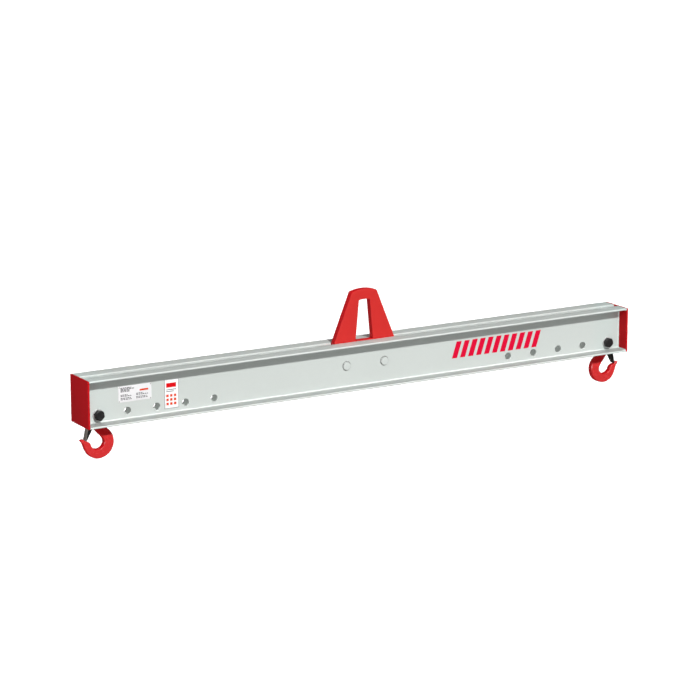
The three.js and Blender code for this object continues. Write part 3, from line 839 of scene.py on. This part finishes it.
def hex_body(name, y0, y1, bore=0.0, chamfer0=True, chamfer1=True, dish=False, seg=120, corner=0.35,
             turn=0.0, land=0.95):
    """A hexagon along Y with turned chamfers; turn is its angle from flats left and right, land
    is the flat of the end face as a part of the width across flats."""
    tan30 = math.tan(math.radians(30))
    r0 = AF / 2 * land
    verts, rings = [], []

    def ring(f):
        rings.append(list(range(len(verts), len(verts) + seg)))
        for k in range(seg):
            a = 2 * math.pi * k / seg
            r, y = f(a, min(hex_radius(a), AC - corner))
            verts.append((r * math.cos(a + turn), y, r * math.sin(a + turn)))

    if bore:
        ring(lambda a, h: (bore, y0 + 0.8))
        ring(lambda a, h: (bore + 0.8, y0))
    elif dish:
        ring(lambda a, h: (AF * 0.18, y0 + 0.45))
        ring(lambda a, h: (AF * 0.30, y0 + 0.40))
        ring(lambda a, h: (AF * 0.345, y0 + 0.10))
        ring(lambda a, h: (AF * 0.37, y0))
    if chamfer0:
        ring(lambda a, h: (r0 - 0.5, y0))
        ring(lambda a, h: (r0, y0 + 0.12))
        ring(lambda a, h: (h - 0.25, y0 + 0.12 + max(0, h - 0.25 - r0) * tan30))
        ring(lambda a, h: (h, y0 + 0.40 + max(0, h - r0) * tan30))
    else:
        ring(lambda a, h: (h, y0))
    if chamfer1:
        ring(lambda a, h: (h, y1 - 0.40 - max(0, h - r0) * tan30))
        ring(lambda a, h: (h - 0.25, y1 - 0.12 - max(0, h - 0.25 - r0) * tan30))
        ring(lambda a, h: (r0, y1 - 0.12))
        ring(lambda a, h: (r0 - 0.5, y1))
    else:
        ring(lambda a, h: (h, y1))
    if bore:
        ring(lambda a, h: (bore + 0.8, y1))
        ring(lambda a, h: (bore, y1 - 0.8))
    faces = []
    pairs = list(zip(rings, rings[1:]))
    if bore:
        pairs.append((rings[-1], rings[0]))
    for a, b in pairs:
        for k in range(seg):
            k2 = (k + 1) % seg
            faces.append((a[k], a[k2], b[k2], b[k]))
    if not bore:
        faces += [tuple(rings[0][::-1]), tuple(rings[-1])]
    return raw(name, verts, faces)


def threaded_rod(name, y0, y1, r=10.0, pitch=2.5, thread_from=20.0, seg=60):
    """The bolt's shank with its rolled thread as a true helix and a chamfered end."""
    depth = 1.45
    ys = list(np.arange(y0, thread_from, 4.0)) + list(np.arange(thread_from, y1 + 1e-6, pitch / 10))
    if ys[-1] < y1 - 1e-6:
        ys.append(y1)
    verts, faces = [], []
    for y in ys:
        for k in range(seg):
            a = 2 * math.pi * k / seg
            rad = r
            if y >= thread_from:
                ph = (y / pitch - a / (2 * math.pi)) % 1.0
                v = abs(2 * ph - 1)  # 1 at the crest
                groove = min(1.0, max(0.0, (v * 1.25 - 0.08)))
                fade = min(1.0, (y - thread_from) / pitch)
                rad = r - depth * (1 - groove) * fade
            rad = min(rad, r - 2.0 + max(0.0, y1 - y) * 1.0)
            verts.append((rad * math.cos(a), y, rad * math.sin(a)))
    n = len(ys)
    for i in range(n - 1):
        for k in range(seg):
            k2 = (k + 1) % seg
            faces.append((i * seg + k, i * seg + k2, (i + 1) * seg + k2, (i + 1) * seg + k))
    faces.append(tuple(range(seg)))
    faces.append(tuple(range(n * seg - 1, (n - 1) * seg - 1, -1)))
    return raw(name, verts, faces)


def washer(name, y0, t=3.0, r0=10.5, r1=18.5):
    p = rounded([(r0, y0 + t / 2), (r0, y0), (r1, y0), (r1, y0 + t), (r0, y0 + t), (r0, y0 + t / 2)],
                [0, 0.3, 0.7, 0.7, 0.3, 0], 4)
    return lathe(name, p[:-1], 96, closed=True)


for sn, d in (("left", -1), ("right", 1)):
    at = (d * HOOK_X, 0, HOLE_Z)
    under = -(WEB + GAP + 3 + GAP)
    head = hex_body("h", under - 12.5, under - 0.5, dish=True, chamfer1=False,
                    turn=math.radians(15), land=0.90)
    collar = lathe("c", [(0, under - 0.6), (13.9, under - 0.6), (13.9, under), (0, under)], 96)
    rod = threaded_rod("s", under - 1, 46.0, thread_from=22.0)
    fillet = lathe("f", rounded([(0, under - 0.8), (11.2, under - 0.8), (10.0, under + 1.2), (0, under + 1.2)],
                                [0, 0.2, 0.6, 0], 3), 60)
    ob = place(combine(head, [collar, fillet, rod], "UNION"), at)
    ob.name = f"hook_bolt_{sn}_hex"
    done(ob, M_BLACK, "beam", (f"hook_bolt_{sn}",), sharp=24)
    ob = place(washer(f"head_washer_{sn}_ring", -(WEB + GAP + 3)), at)
    done(ob, M_ZINC, "beam", (f"head_washer_{sn}",))
    ob = place(washer(f"nut_washer_{sn}_ring", WEB + GAP), at)
    done(ob, M_ZINC, "beam", (f"nut_washer_{sn}",))
    y0 = WEB + GAP + 3 + GAP
    nut = hex_body("n", y0, y0 + 15.6, bore=10.35)
    top = lathe("t", rounded([(10.35, y0 + 17), (10.35, y0 + 14), (13.7, y0 + 14), (13.7, y0 + 20),
                              (10.6, y0 + 20), (10.35, y0 + 17)], [0, 0, 0, 1.6, 0.5, 0], 6)[:-1],
                96, closed=True)
    ob = place(combine(nut, [top], "UNION"), at)
    ob.name = f"lock_nut_{sn}_hex"
    done(ob, M_BLACK, "beam", (f"lock_nut_{sn}",), sharp=24)
    for wn, lo, hi in (("front", -(IN - GAP), -(8 + GAP)), ("rear", 8 + GAP, IN - GAP)):
        ob = place(ringed(f"{wn}_spacer_{sn}_ring", lo, hi, 10.3, 17.0, 0.4), at)
        done(ob, M_STEEL, "beam", (f"{wn}_spacer_{sn}",))


# ------------------------------------------------------------------ load hooks
# stations of the forging from its neck to its point, outwards and up from the bolt:
# the back of the hook, the inside of the hook, half the thickness
STATIONS = [
    (-20, -20, 12, -20, 7.6), (-22.5, -32, 16.5, -35, 7.7), (-34.2, -46.9, 7.1, -48, 8),
    (-46.2, -58.9, -2.3, -59.9, 8.3), (-53.2, -70.6, -11.5, -69.2, 9.4), (-55.7, -82.3, -18.5, -77.5, 10.5),
    (-56.1, -93.3, -23.3, -87, 11), (-54, -105.4, -22.6, -95.6, 11.1), (-48.6, -117, -18.8, -102.9, 11.1),
    (-40.5, -127.3, -13, -108.5, 11.1), (-29.1, -134.9, -6.4, -111, 11.1), (-16.7, -139.4, -1.7, -111.6, 11.1),
    (-4.3, -141.3, 1.9, -110.9, 11.1), (8.1, -139.7, 6.4, -110, 11.1), (19.1, -134.5, 11.2, -108.1, 10.9),
    (29.1, -126.7, 15.4, -104.3, 10.5), (36.8, -116.2, 19.2, -100.3, 10), (41.9, -105.4, 20.6, -95.3, 9.5),
    (45.2, -96, 21.9, -91.1, 9), (48.6, -88.3, 24.9, -87.4, 8.4), (52.4, -83.1, 30.2, -84, 7.8),
    (54.9, -79.9, 36, -82.2, 7.2), (56.7, -77.4, 40.4, -80.4, 6.6), (54, -75.4, 41.4, -75.8, 5.6),
]


def station(t):
    """The five station numbers at t from 0 to 1, on a smooth curve through them."""
    s = np.array(STATIONS, float)
    n = len(s) - 1
    p = min(t * n, n - 1e-9)
    i, w = int(p), p - int(p)
    p1, p2 = s[i], s[i + 1]
    p0 = s[i - 1] if i > 0 else 2 * s[0] - s[1]
    p3 = s[i + 2] if i + 2 <= n else 2 * s[n] - s[n - 1]
    return 0.5 * (
        2 * p1 + (p2 - p0) * w + (2 * p0 - 5 * p1 + 4 * p2 - p3) * w * w
        + (3 * p1 - p0 - 3 * p2 + p3) * w ** 3
    )


def hook_mesh():
    """The eye hook as one forging about its bolt, in millimetres."""
    rows, seg = (len(STATIONS) - 1) * 5, 48

    def section(j, a, b):
        """Point j of the section, a rounded oblong, as parts of its half width and thickness."""
        r = min(4.6, 0.8 * b, 0.8 * a)
        k, m = divmod(j, seg // 4)
        q = math.pi / 2 * (k + m / (seg // 4 - 1))
        sx, sy = (1, -1, -1, 1)[k], (1, 1, -1, -1)[k]
        return (sx * (a - r) + r * math.cos(q)) / a, (sy * (b - r) + r * math.sin(q)) / b

    verts, faces = [], []
    for k in range(rows + 1):
        ox, oz, ix, iz, b = station(k / rows)
        for j in range(seg):
            u, w = section(j, math.hypot(ox - ix, oz - iz) / 2, b)
            verts.append(((ox + ix) / 2 + (ox - ix) / 2 * u, b * w, (oz + iz) / 2 + (oz - iz) / 2 * u))
    for k in range(rows):
        for j in range(seg):
            j2 = (j + 1) % seg
            faces.append((k * seg + j, k * seg + j2, (k + 1) * seg + j2, (k + 1) * seg + j))
    faces.append(tuple(range(seg))[::-1])
    faces.append(tuple(range(rows * seg, rows * seg + seg)))
    body = raw("load_hook", verts, faces)
    eye = lathe("eye", rounded([(8, 0), (8, -8), (26, -8), (26, 8), (8, 8), (8, 0)], [0, 0, 4.5, 4.5, 0, 0], 8)[:-1],
                96, closed=True)
    boss = lathe("boss", rounded([(0, -8), (9, -8), (9, 8), (0, 8)], [0, 1.2, 1.2, 0], 5), 64, PX, PZ)
    neck = plate("neck", [(-19, -18), (-21, -30), (14, -31.5), (21.8, -21), (23, -12)], [],
                 -7.6, 7.6, 2.0, 4)
    combine(body, [eye, boss, neck], "UNION")
    m = body.modifiers.new("r", "REMESH")
    m.mode, m.voxel_size, m.adaptivity = "VOXEL", 0.85, 0.0
    s = body.modifiers.new("s", "SMOOTH")
    s.factor, s.iterations = 0.5, 3
    settle(body)
    # trimmed parting line of the forging, along its mid plane
    me = body.data
    n = len(me.vertices)
    co, no = np.zeros(n * 3), np.zeros(n * 3)
    me.vertices.foreach_get("co", co)
    me.vertices.foreach_get("normal", no)
    co, no = co.reshape(-1, 3), no.reshape(-1, 3)
    ridge = np.exp(-((co[:, 1] / 1.5) ** 4)) * np.clip(1.2 - 2.0 * np.abs(no[:, 1]), 0, 1)
    ridge *= np.clip((-co[:, 2] - 28) / 8, 0, 1)  # below the neck
    ridge *= 1 - np.clip((co[:, 0] - 20) / 6, 0, 1) * np.clip((co[:, 2] + 104) / 6, 0, 1)  # not at the point
    wob = np.array([noise.noise(Vector((x * 0.05, y * 0.4, z * 0.05))) for x, y, z in co])
    co = co + no * (0.34 * ridge * (1 + 0.5 * wob))[:, None]
    # the slight unevenness of a hammered and blasted surface
    rough = np.array([noise.noise(Vector(p) * 0.11) for p in co])
    calm = np.clip((-co[:, 2] - 34) / 10, 0, 1) * (1 - np.clip((co[:, 0] - 26) / 6, 0, 1) * np.clip((co[:, 2] + 98) / 6, 0, 1))
    co = co + no * (0.16 * rough * calm)[:, None]
    me.vertices.foreach_set("co", co.ravel())
    me.update()
    cutters = [
        lathe("c", [(0, -20), (14.5, -20), (14.5, -12), (10.5, -7.3), (10.5, 7.3), (14.5, 12), (14.5, 20), (0, 20)], 96),
        lathe("c", [(0, -20), (3.3, -20), (3.3, 20), (0, 20)], 48, PX, PZ),
        lathe("c", [(0, -20), (9.4, -20), (9.4, -5.4), (9.0, -5), (0, -5)], 64, PX, PZ),
    ]
    combine(body, cutters)
    return body


HOOK = hook_mesh()


def hook_piece(master, name, side, mat, body, stands_for=(), sharp=32.0):
    ob = twin(master, name)
    place(ob, (0, 0, 0), turn=side < 0)
    place(ob, (side * HOOK_X, 0, HOLE_Z))
    return done(ob, mat, body, stands_for, sharp)


# ------------------------------------------------------------------ latches
def latch_mesh():
    """The folded sheet latch about its hook's bolt: a back across the throat and two cheeks."""
    o = [(39.37, -80), (27.7, -26)]
    o += quad((27.7, -26), (26.6, -18), (20.5, -15.2))[1:]
    o += quad((20.5, -15.2), (17.5, -14), (13, -14.4))[1:]
    o += arc(PX, PZ, 8.6, 90, 219.6, 22)
    o += quad((PX + 8.6 * math.cos(math.radians(219.6)), PZ + 8.6 * math.sin(math.radians(219.6))),
              (9.8, -36.5), (17.8, -46.5), 12)[1:]
    o += [(34.6, -77), (37.1, -79.6)]
    body = plate("latch", o, [], -11, 11, 1.1, 4)
    d = Vector((39.37 - 27.7, -80 + 26)).normalized()
    n = Vector((d.y, -d.x))
    a = Vector((27.7, -26)) + n * 2.0
    top, low = a - d * 40, a + d * 90
    hollow = plate("hollow", [tuple(top), (-60, top.y), (-60, low.y), tuple(low)], [], -9, 9, 1.0, 4)
    pin = lathe("c", [(0, -20), (3.35, -20), (3.35, 20), (0, 20)], 48, PX, PZ)
    combine(body, [hollow, pin])
    # the pressed stiffening rib down the middle of the back
    mid = Vector((27.7, -26)) + d * 29 + n * 0.4
    rib = []
    verts, faces = [], []
    rows, seg = 24, 16
    for k in range(rows + 1):
        t = k / rows
        s = (t - 0.5) * 30
        f = math.sqrt(max(0.0, 1 - (2 * t - 1) ** 6))
        c = mid + d * s
        for j in range(seg):
            q = 2 * math.pi * j / seg
            h = 0.62 * f * math.cos(q)
            verts.append((c.x - n.x * h, 2.7 * max(f, 0.02) * math.sin(q), c.y - n.y * h))
    for k in range(rows):
        for j in range(seg):
            j2 = (j + 1) % seg
            faces.append((k * seg + j, k * seg + j2, (k + 1) * seg + j2, (k + 1) * seg + j))
    faces += [tuple(range(seg))[::-1], tuple(range(rows * seg, rows * seg + seg))]
    combine(body, [raw("rib", verts, faces)], "UNION")
    return body


LATCH = latch_mesh()
PIN = lathe("pin", rounded([(0, -11.32), (3.6, -11.3), (4.3, -11.06), (3.0, -11.03), (3.0, 11.03),
                            (4.3, 11.06), (3.6, 11.3), (0, 11.32)], [0, 0.3, 0, 0, 0, 0, 0.3, 0], 4),
            48, PX, PZ)


def coil():
    """The torsion spring's coil with the leg that rests on the hook."""
    r, y0, turns = 4.85, -7.45, 1.75
    pts = []
    start = math.radians(200)
    for k in range(6):
        t = (6 - k) * 0.62
        a = start
        pts.append((PX + r * math.cos(a) + t * math.sin(a), y0, PZ + r * math.sin(a) - t * math.cos(a)))
    n = 90
    for k in range(n + 1):
        a = start + 2 * math.pi * turns * k / n
        pts.append((PX + r * math.cos(a), y0 + 1.25 * turns * k / n * 0.75, PZ + r * math.sin(a)))
    return tube("spring", pts, 0.5, 12)


def spring_leg():
    """The spring's other leg, which lies against the latch's back and turns with it."""
    a = math.radians(-18)
    pts = []
    for k in range(12):
        t = 5.4 + k * 0.56
        bend = 0.06 * max(0, k - 6) ** 2
        pts.append((PX + t * math.cos(a) - bend * 0.3, -6.2, PZ + t * math.sin(a) - bend))
    return tube("leg", pts, 0.5, 12)


COIL, LEG = coil(), spring_leg()

for sn, s in (("left", -1), ("right", 1)):
    hook_piece(HOOK, f"load_hook_{sn}_forging", s, M_HOOK, f"hook_{sn}",
               (f"load_hook_{sn}",), sharp=42)
    hook_piece(LATCH, f"latch_{sn}_sheet", s, M_LATCH[s], f"latch_{sn}",
               (f"latch_{sn}",), sharp=30)
    hook_piece(PIN, f"latch_pin_{sn}_rivet", s, M_STEEL, f"hook_{sn}",
               (f"latch_pin_{sn}",))
    hook_piece(COIL, f"latch_spring_{sn}_coil", s, M_SPRING, f"hook_{sn}",
               (f"latch_spring_{sn}",), sharp=60)
    hook_piece(LEG, f"latch_spring_{sn}_leg", s, M_SPRING, f"latch_{sn}", sharp=60)
for o in (HOOK, LATCH, PIN, COIL, LEG):
    bpy.data.objects.remove(o)


# ------------------------------------------------------------------ plate, label, marking
FACE = -(WEB + GAP)


def foil(name, x, z, w, h, t, r, mat, node, bevel):
    ob = plate(name, rounded_rect(x - w / 2, z - h / 2, x + w / 2, z + h / 2, r, 6), [],
               FACE - t, FACE + 0.25, bevel, 3)
    return done(ob, mat, "beam", (node,))


foil("rating_plate_sheet", -824, 84.5, 113, 51, 0.8, 2.5, M_PLATE, "rating_plate", 0.3)
foil("inspection_label_foil", -698.4, 65.0, 49.4, 92.4, 0.35, 2.5, M_LABEL,
     "inspection_label", 0.12)

rnd = random.Random(41)


def dashes(x0, x1, z, h, word=(4, 11), gap=1.6):
    """A printed line of plain bars in place of words."""
    out, x = [], x0
    while x < x1 - 2:
        w = min(rnd.uniform(*word), x1 - x)
        out.append(rect(x, z - h / 2, x + w, z + h / 2))
        x += w + gap
    return out


Y_PLATE = FACE - 0.8
ink = []
for z, x1 in ((104.2, -836), (100.4, -827), (96.6, -842), (92.8, -841)):
    ink += dashes(-873, x1, z, 2.6, (4, 11), 1.4)
for k, x0 in enumerate((-873, -820)):
    for z, x1 in ((82.2, 24), (78.2, 40), (72.0, 35), (67.8, 41)):
        ink += dashes(x0, x0 + x1, z, 2.6, (3, 8), 1.9)
done(prisms("rating_plate_print", ink, Y_PLATE + 0.1, Y_PLATE - 0.05), M_INK, "beam")
done(prisms("rating_plate_bar", [rect(-808.0, 89.0, -778.5, 94.6)], Y_PLATE + 0.1, Y_PLATE - 0.06),
     M_SIGN, "beam")
rivets = []
for x in (-877.2, -770.8):
    for z in (62.3, 106.7):
        rivets.append(lathe("r", [(0, Y_PLATE - 1.0), (0.9, Y_PLATE - 0.9), (1.6, Y_PLATE - 0.55),
                                  (1.9, Y_PLATE), (1.9, Y_PLATE + 0.4), (0, Y_PLATE + 0.4)], 28, x, z))
done(merge("rating_plate_rivets", rivets), M_STEEL, "beam")

Y_LABEL = FACE - 0.35
cx = -699.6
done(prisms("inspection_label_block", [rect(cx - 17.0, 86.0, cx + 17.0, 100.0)], Y_LABEL + 0.05, Y_LABEL - 0.05),
     M_BLOCK, "beam")
done(prisms("inspection_label_lines", [rect(cx - 17.0, z, cx + w, z + 2.0) for z, w in ((78.0, 17.0), (72.5, 9.0))],
            Y_LABEL + 0.05, Y_LABEL - 0.05), M_DARK, "beam")
boxes = [rect(cx + x - 4.0, z - 4.0, cx + x + 4.0, z + 4.0) for x in (-13, 0, 13) for z in (34, 47, 60)]
done(prisms("inspection_label_boxes", boxes, Y_LABEL + 0.05, Y_LABEL - 0.05), M_SIGN, "beam")
# a dark band round the label's edge, wider at the left and the bottom: a painted shadow of the foil's edge
edge = []
for t in ((-723.0, 19.0, -721.4, 111.0), (-675.0, 19.0, -673.8, 111.0), (-723.0, 19.0, -673.8, 20.4),
          (-723.0, 110.2, -673.8, 111.0)):
    edge.append(rect(*t))
done(prisms("inspection_label_edge", edge, Y_LABEL + 0.05, Y_LABEL - 0.04), M_LABEL_EDGE_SHADE, "beam")

# the side marking: a plain band of slanted bars
bars = []
x0, x1, z0, z1, slant = 329.0, 679.0, 50.0, 105.0, 18.0
count = 11
pitch = (x1 - x0 - slant) / (count - 0.38)
for k in range(count):
    a = x0 + k * pitch
    w = pitch * 0.62
    bars.append([(a, z0), (a + w, z0), (a + w + slant, z1), (a + slant, z1)])
done(prisms("side_marking_bars", bars, FACE + 0.25, FACE - 0.35), M_MARK, "beam", ("side_marking",))


# ------------------------------------------------------------------ floor, light, camera
def floor():
    me = bpy.data.meshes.new("floor")
    s, z = 160.0, -3.3
    me.from_pydata([(-s, -s, z), (s, -s, z), (s, s, z), (-s, s, z)], [], [(0, 1, 2, 3)])
    ob = link(bpy.data.objects.new("floor", me))
    k = Mat("floor_white")
    a = k.noise(0.6, 3, 0.5)
    k.set(Base_Color=k.mix(k.span(a, 0.3, 0.7, 0, 1), (0.90, 0.90, 0.90), (0.93, 0.93, 0.93)),
          Roughness=0.9, Specular_IOR_Level=0.1, Emission_Color=(1.0, 1.0, 1.0), Emission_Strength=0.42)
    me.materials.append(k.m)
    ob.visible_diffuse = False
    ob.visible_glossy = False
    ob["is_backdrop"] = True


floor()

AMBIENT, TILT = 0.490, (-0.26, 0.0, -0.25)
SUN = 3.53
SHEEN = 0.08  # share of the soft light that shows in reflections


def sky():
    w = bpy.data.worlds.new("studio")
    bpy.context.scene.world = w
    w.use_nodes = True
    t = w.node_tree
    t.nodes.clear()
    n = lambda kind: t.nodes.new("ShaderNode" + kind)
    out, tc, dot, add, low = n("OutputWorld"), n("TexCoord"), n("VectorMath"), n("Math"), n("Math")
    soft, white, mixer, path = n("Background"), n("Background"), n("MixShader"), n("LightPath")
    dot.operation = "DOT_PRODUCT"
    dot.inputs[1].default_value = TILT
    add.operation, low.operation = "ADD", "MAXIMUM"
    add.inputs[1].default_value = AMBIENT
    low.inputs[1].default_value = 0.03
    t.links.new(tc.outputs["Generated"], dot.inputs[0])
    t.links.new(dot.outputs["Value"], add.inputs[0])
    t.links.new(add.outputs[0], low.inputs[0])
    cut, one = n("MapRange"), n("Math")
    cut.inputs["To Min"].default_value, cut.inputs["To Max"].default_value = 1.0, SHEEN
    t.links.new(path.outputs["Is Glossy Ray"], cut.inputs["Value"])
    one.operation = "MULTIPLY"
    t.links.new(low.outputs[0], one.inputs[0])
    t.links.new(cut.outputs["Result"], one.inputs[1])
    t.links.new(one.outputs[0], soft.inputs["Strength"])
    soft.inputs["Color"].default_value = (1, 1, 1, 1)
    white.inputs["Color"].default_value = (1, 1, 1, 1)
    white.inputs["Strength"].default_value = 1.0
    t.links.new(path.outputs["Is Camera Ray"], mixer.inputs[0])
    t.links.new(soft.outputs[0], mixer.inputs[1])
    t.links.new(white.outputs[0], mixer.inputs[2])
    t.links.new(mixer.outputs[0], out.inputs[0])


sky()

# soft fill inside the slot, so that the bolt holes show the far web
for s in (-1, 1):
    for face in (-1, 1):
        a = bpy.data.lights.new("slot_fill", "AREA")
        a.shape, a.size, a.size_y, a.energy = "RECTANGLE", 0.50, 0.05, 0.013
        o = link(bpy.data.objects.new(f"slot_fill_{s}_{face}", a))
        o.location = (s * 0.71, 0.0, (HOLE_Z - EYE_Z) * 0.001)
        o.rotation_mode = "QUATERNION"
        o.rotation_quaternion = Vector((0, face, 0)).to_track_quat("-Z", "Y")
        o.visible_camera = o.visible_glossy = False

sun = bpy.data.lights.new("key", "SUN")
sun.energy, sun.angle = SUN, math.radians(3.4)
key = link(bpy.data.objects.new("key", sun))
el = math.radians(37.5)
key.rotation_mode = "QUATERNION"
key.rotation_quaternion = Vector((0, math.cos(el), -math.sin(el))).to_track_quat("-Z", "Y")
key.location = (0, -3, 2.5)

# a softbox that only shows as a gleam on rounded edges
gleam = bpy.data.lights.new("gleam", "SUN")
gleam.energy, gleam.angle = 6.0, math.radians(14)
box = link(bpy.data.objects.new("gleam", gleam))
box.rotation_mode = "QUATERNION"
box.rotation_quaternion = Vector((-0.494, 0.373, -0.785)).to_track_quat("-Z", "Y")
box.location = (2.0, -2.0, 3.0)
box.visible_diffuse = False

# a second one at the far left, level with the hooks
side = bpy.data.lights.new("side_gleam", "SUN")
side.energy, side.angle = 6.5, math.radians(14)
panel = link(bpy.data.objects.new("side_gleam", side))
panel.rotation_mode = "QUATERNION"
panel.rotation_quaternion = Vector((0.857, 0.513, -0.039)).to_track_quat("-Z", "Y")
panel.location = (-3.0, -2.0, 0.1)
panel.visible_diffuse = False

# and one between the two, high at the left
high = bpy.data.lights.new("high_gleam", "SUN")
high.energy, high.angle = 5.0, math.radians(14)
hood = link(bpy.data.objects.new("high_gleam", high))
hood.rotation_mode = "QUATERNION"
hood.rotation_quaternion = Vector((0.456, 0.492, -0.719)).to_track_quat("-Z", "Y")
hood.location = (-2.0, -2.0, 3.0)
hood.visible_diffuse = False

# soft fill for the rear side
back = bpy.data.lights.new("back_fill", "SUN")
back.energy, back.angle = 1.9, math.radians(25)
wall = link(bpy.data.objects.new("back_fill", back))
wall.rotation_mode = "QUATERNION"
wall.rotation_quaternion = Vector((-0.45, -0.89, 0.10)).to_track_quat("-Z", "Y")
wall.location = (2.0, 3.0, 0.0)
wall.visible_glossy = False

cam_data = bpy.data.cameras.new("camera")
cam_data.sensor_width, cam_data.lens = 36.0, 145.769
cam_data.clip_start, cam_data.clip_end = 0.1, 400.0
cam = link(bpy.data.objects.new("camera", cam_data))
right = Vector((0.86154118, -0.5076861, -0.00127486))
up = Vector((0.11836567, 0.19842288, 0.97294292))
fwd = Vector((0.49369663, 0.83838129, -0.23104209))
rot = Matrix((right, up, -fwd)).transposed()
cam.rotation_mode = "QUATERNION"
cam.rotation_quaternion = rot.to_quaternion()
cam.location = (-4.53225108, -7.61586134, 1.93477278)
bpy.context.scene.camera = cam

vs = bpy.context.scene.view_settings
vs.view_transform, vs.look, vs.exposure, vs.gamma = "Standard", "None", 0.0, 1.0

# ------------------------------------------------------------------ size and finish
lo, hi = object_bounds()
{"cad": [list(CAD_LO), list(CAD_HI)], "visual": [list(lo), list(hi)]}
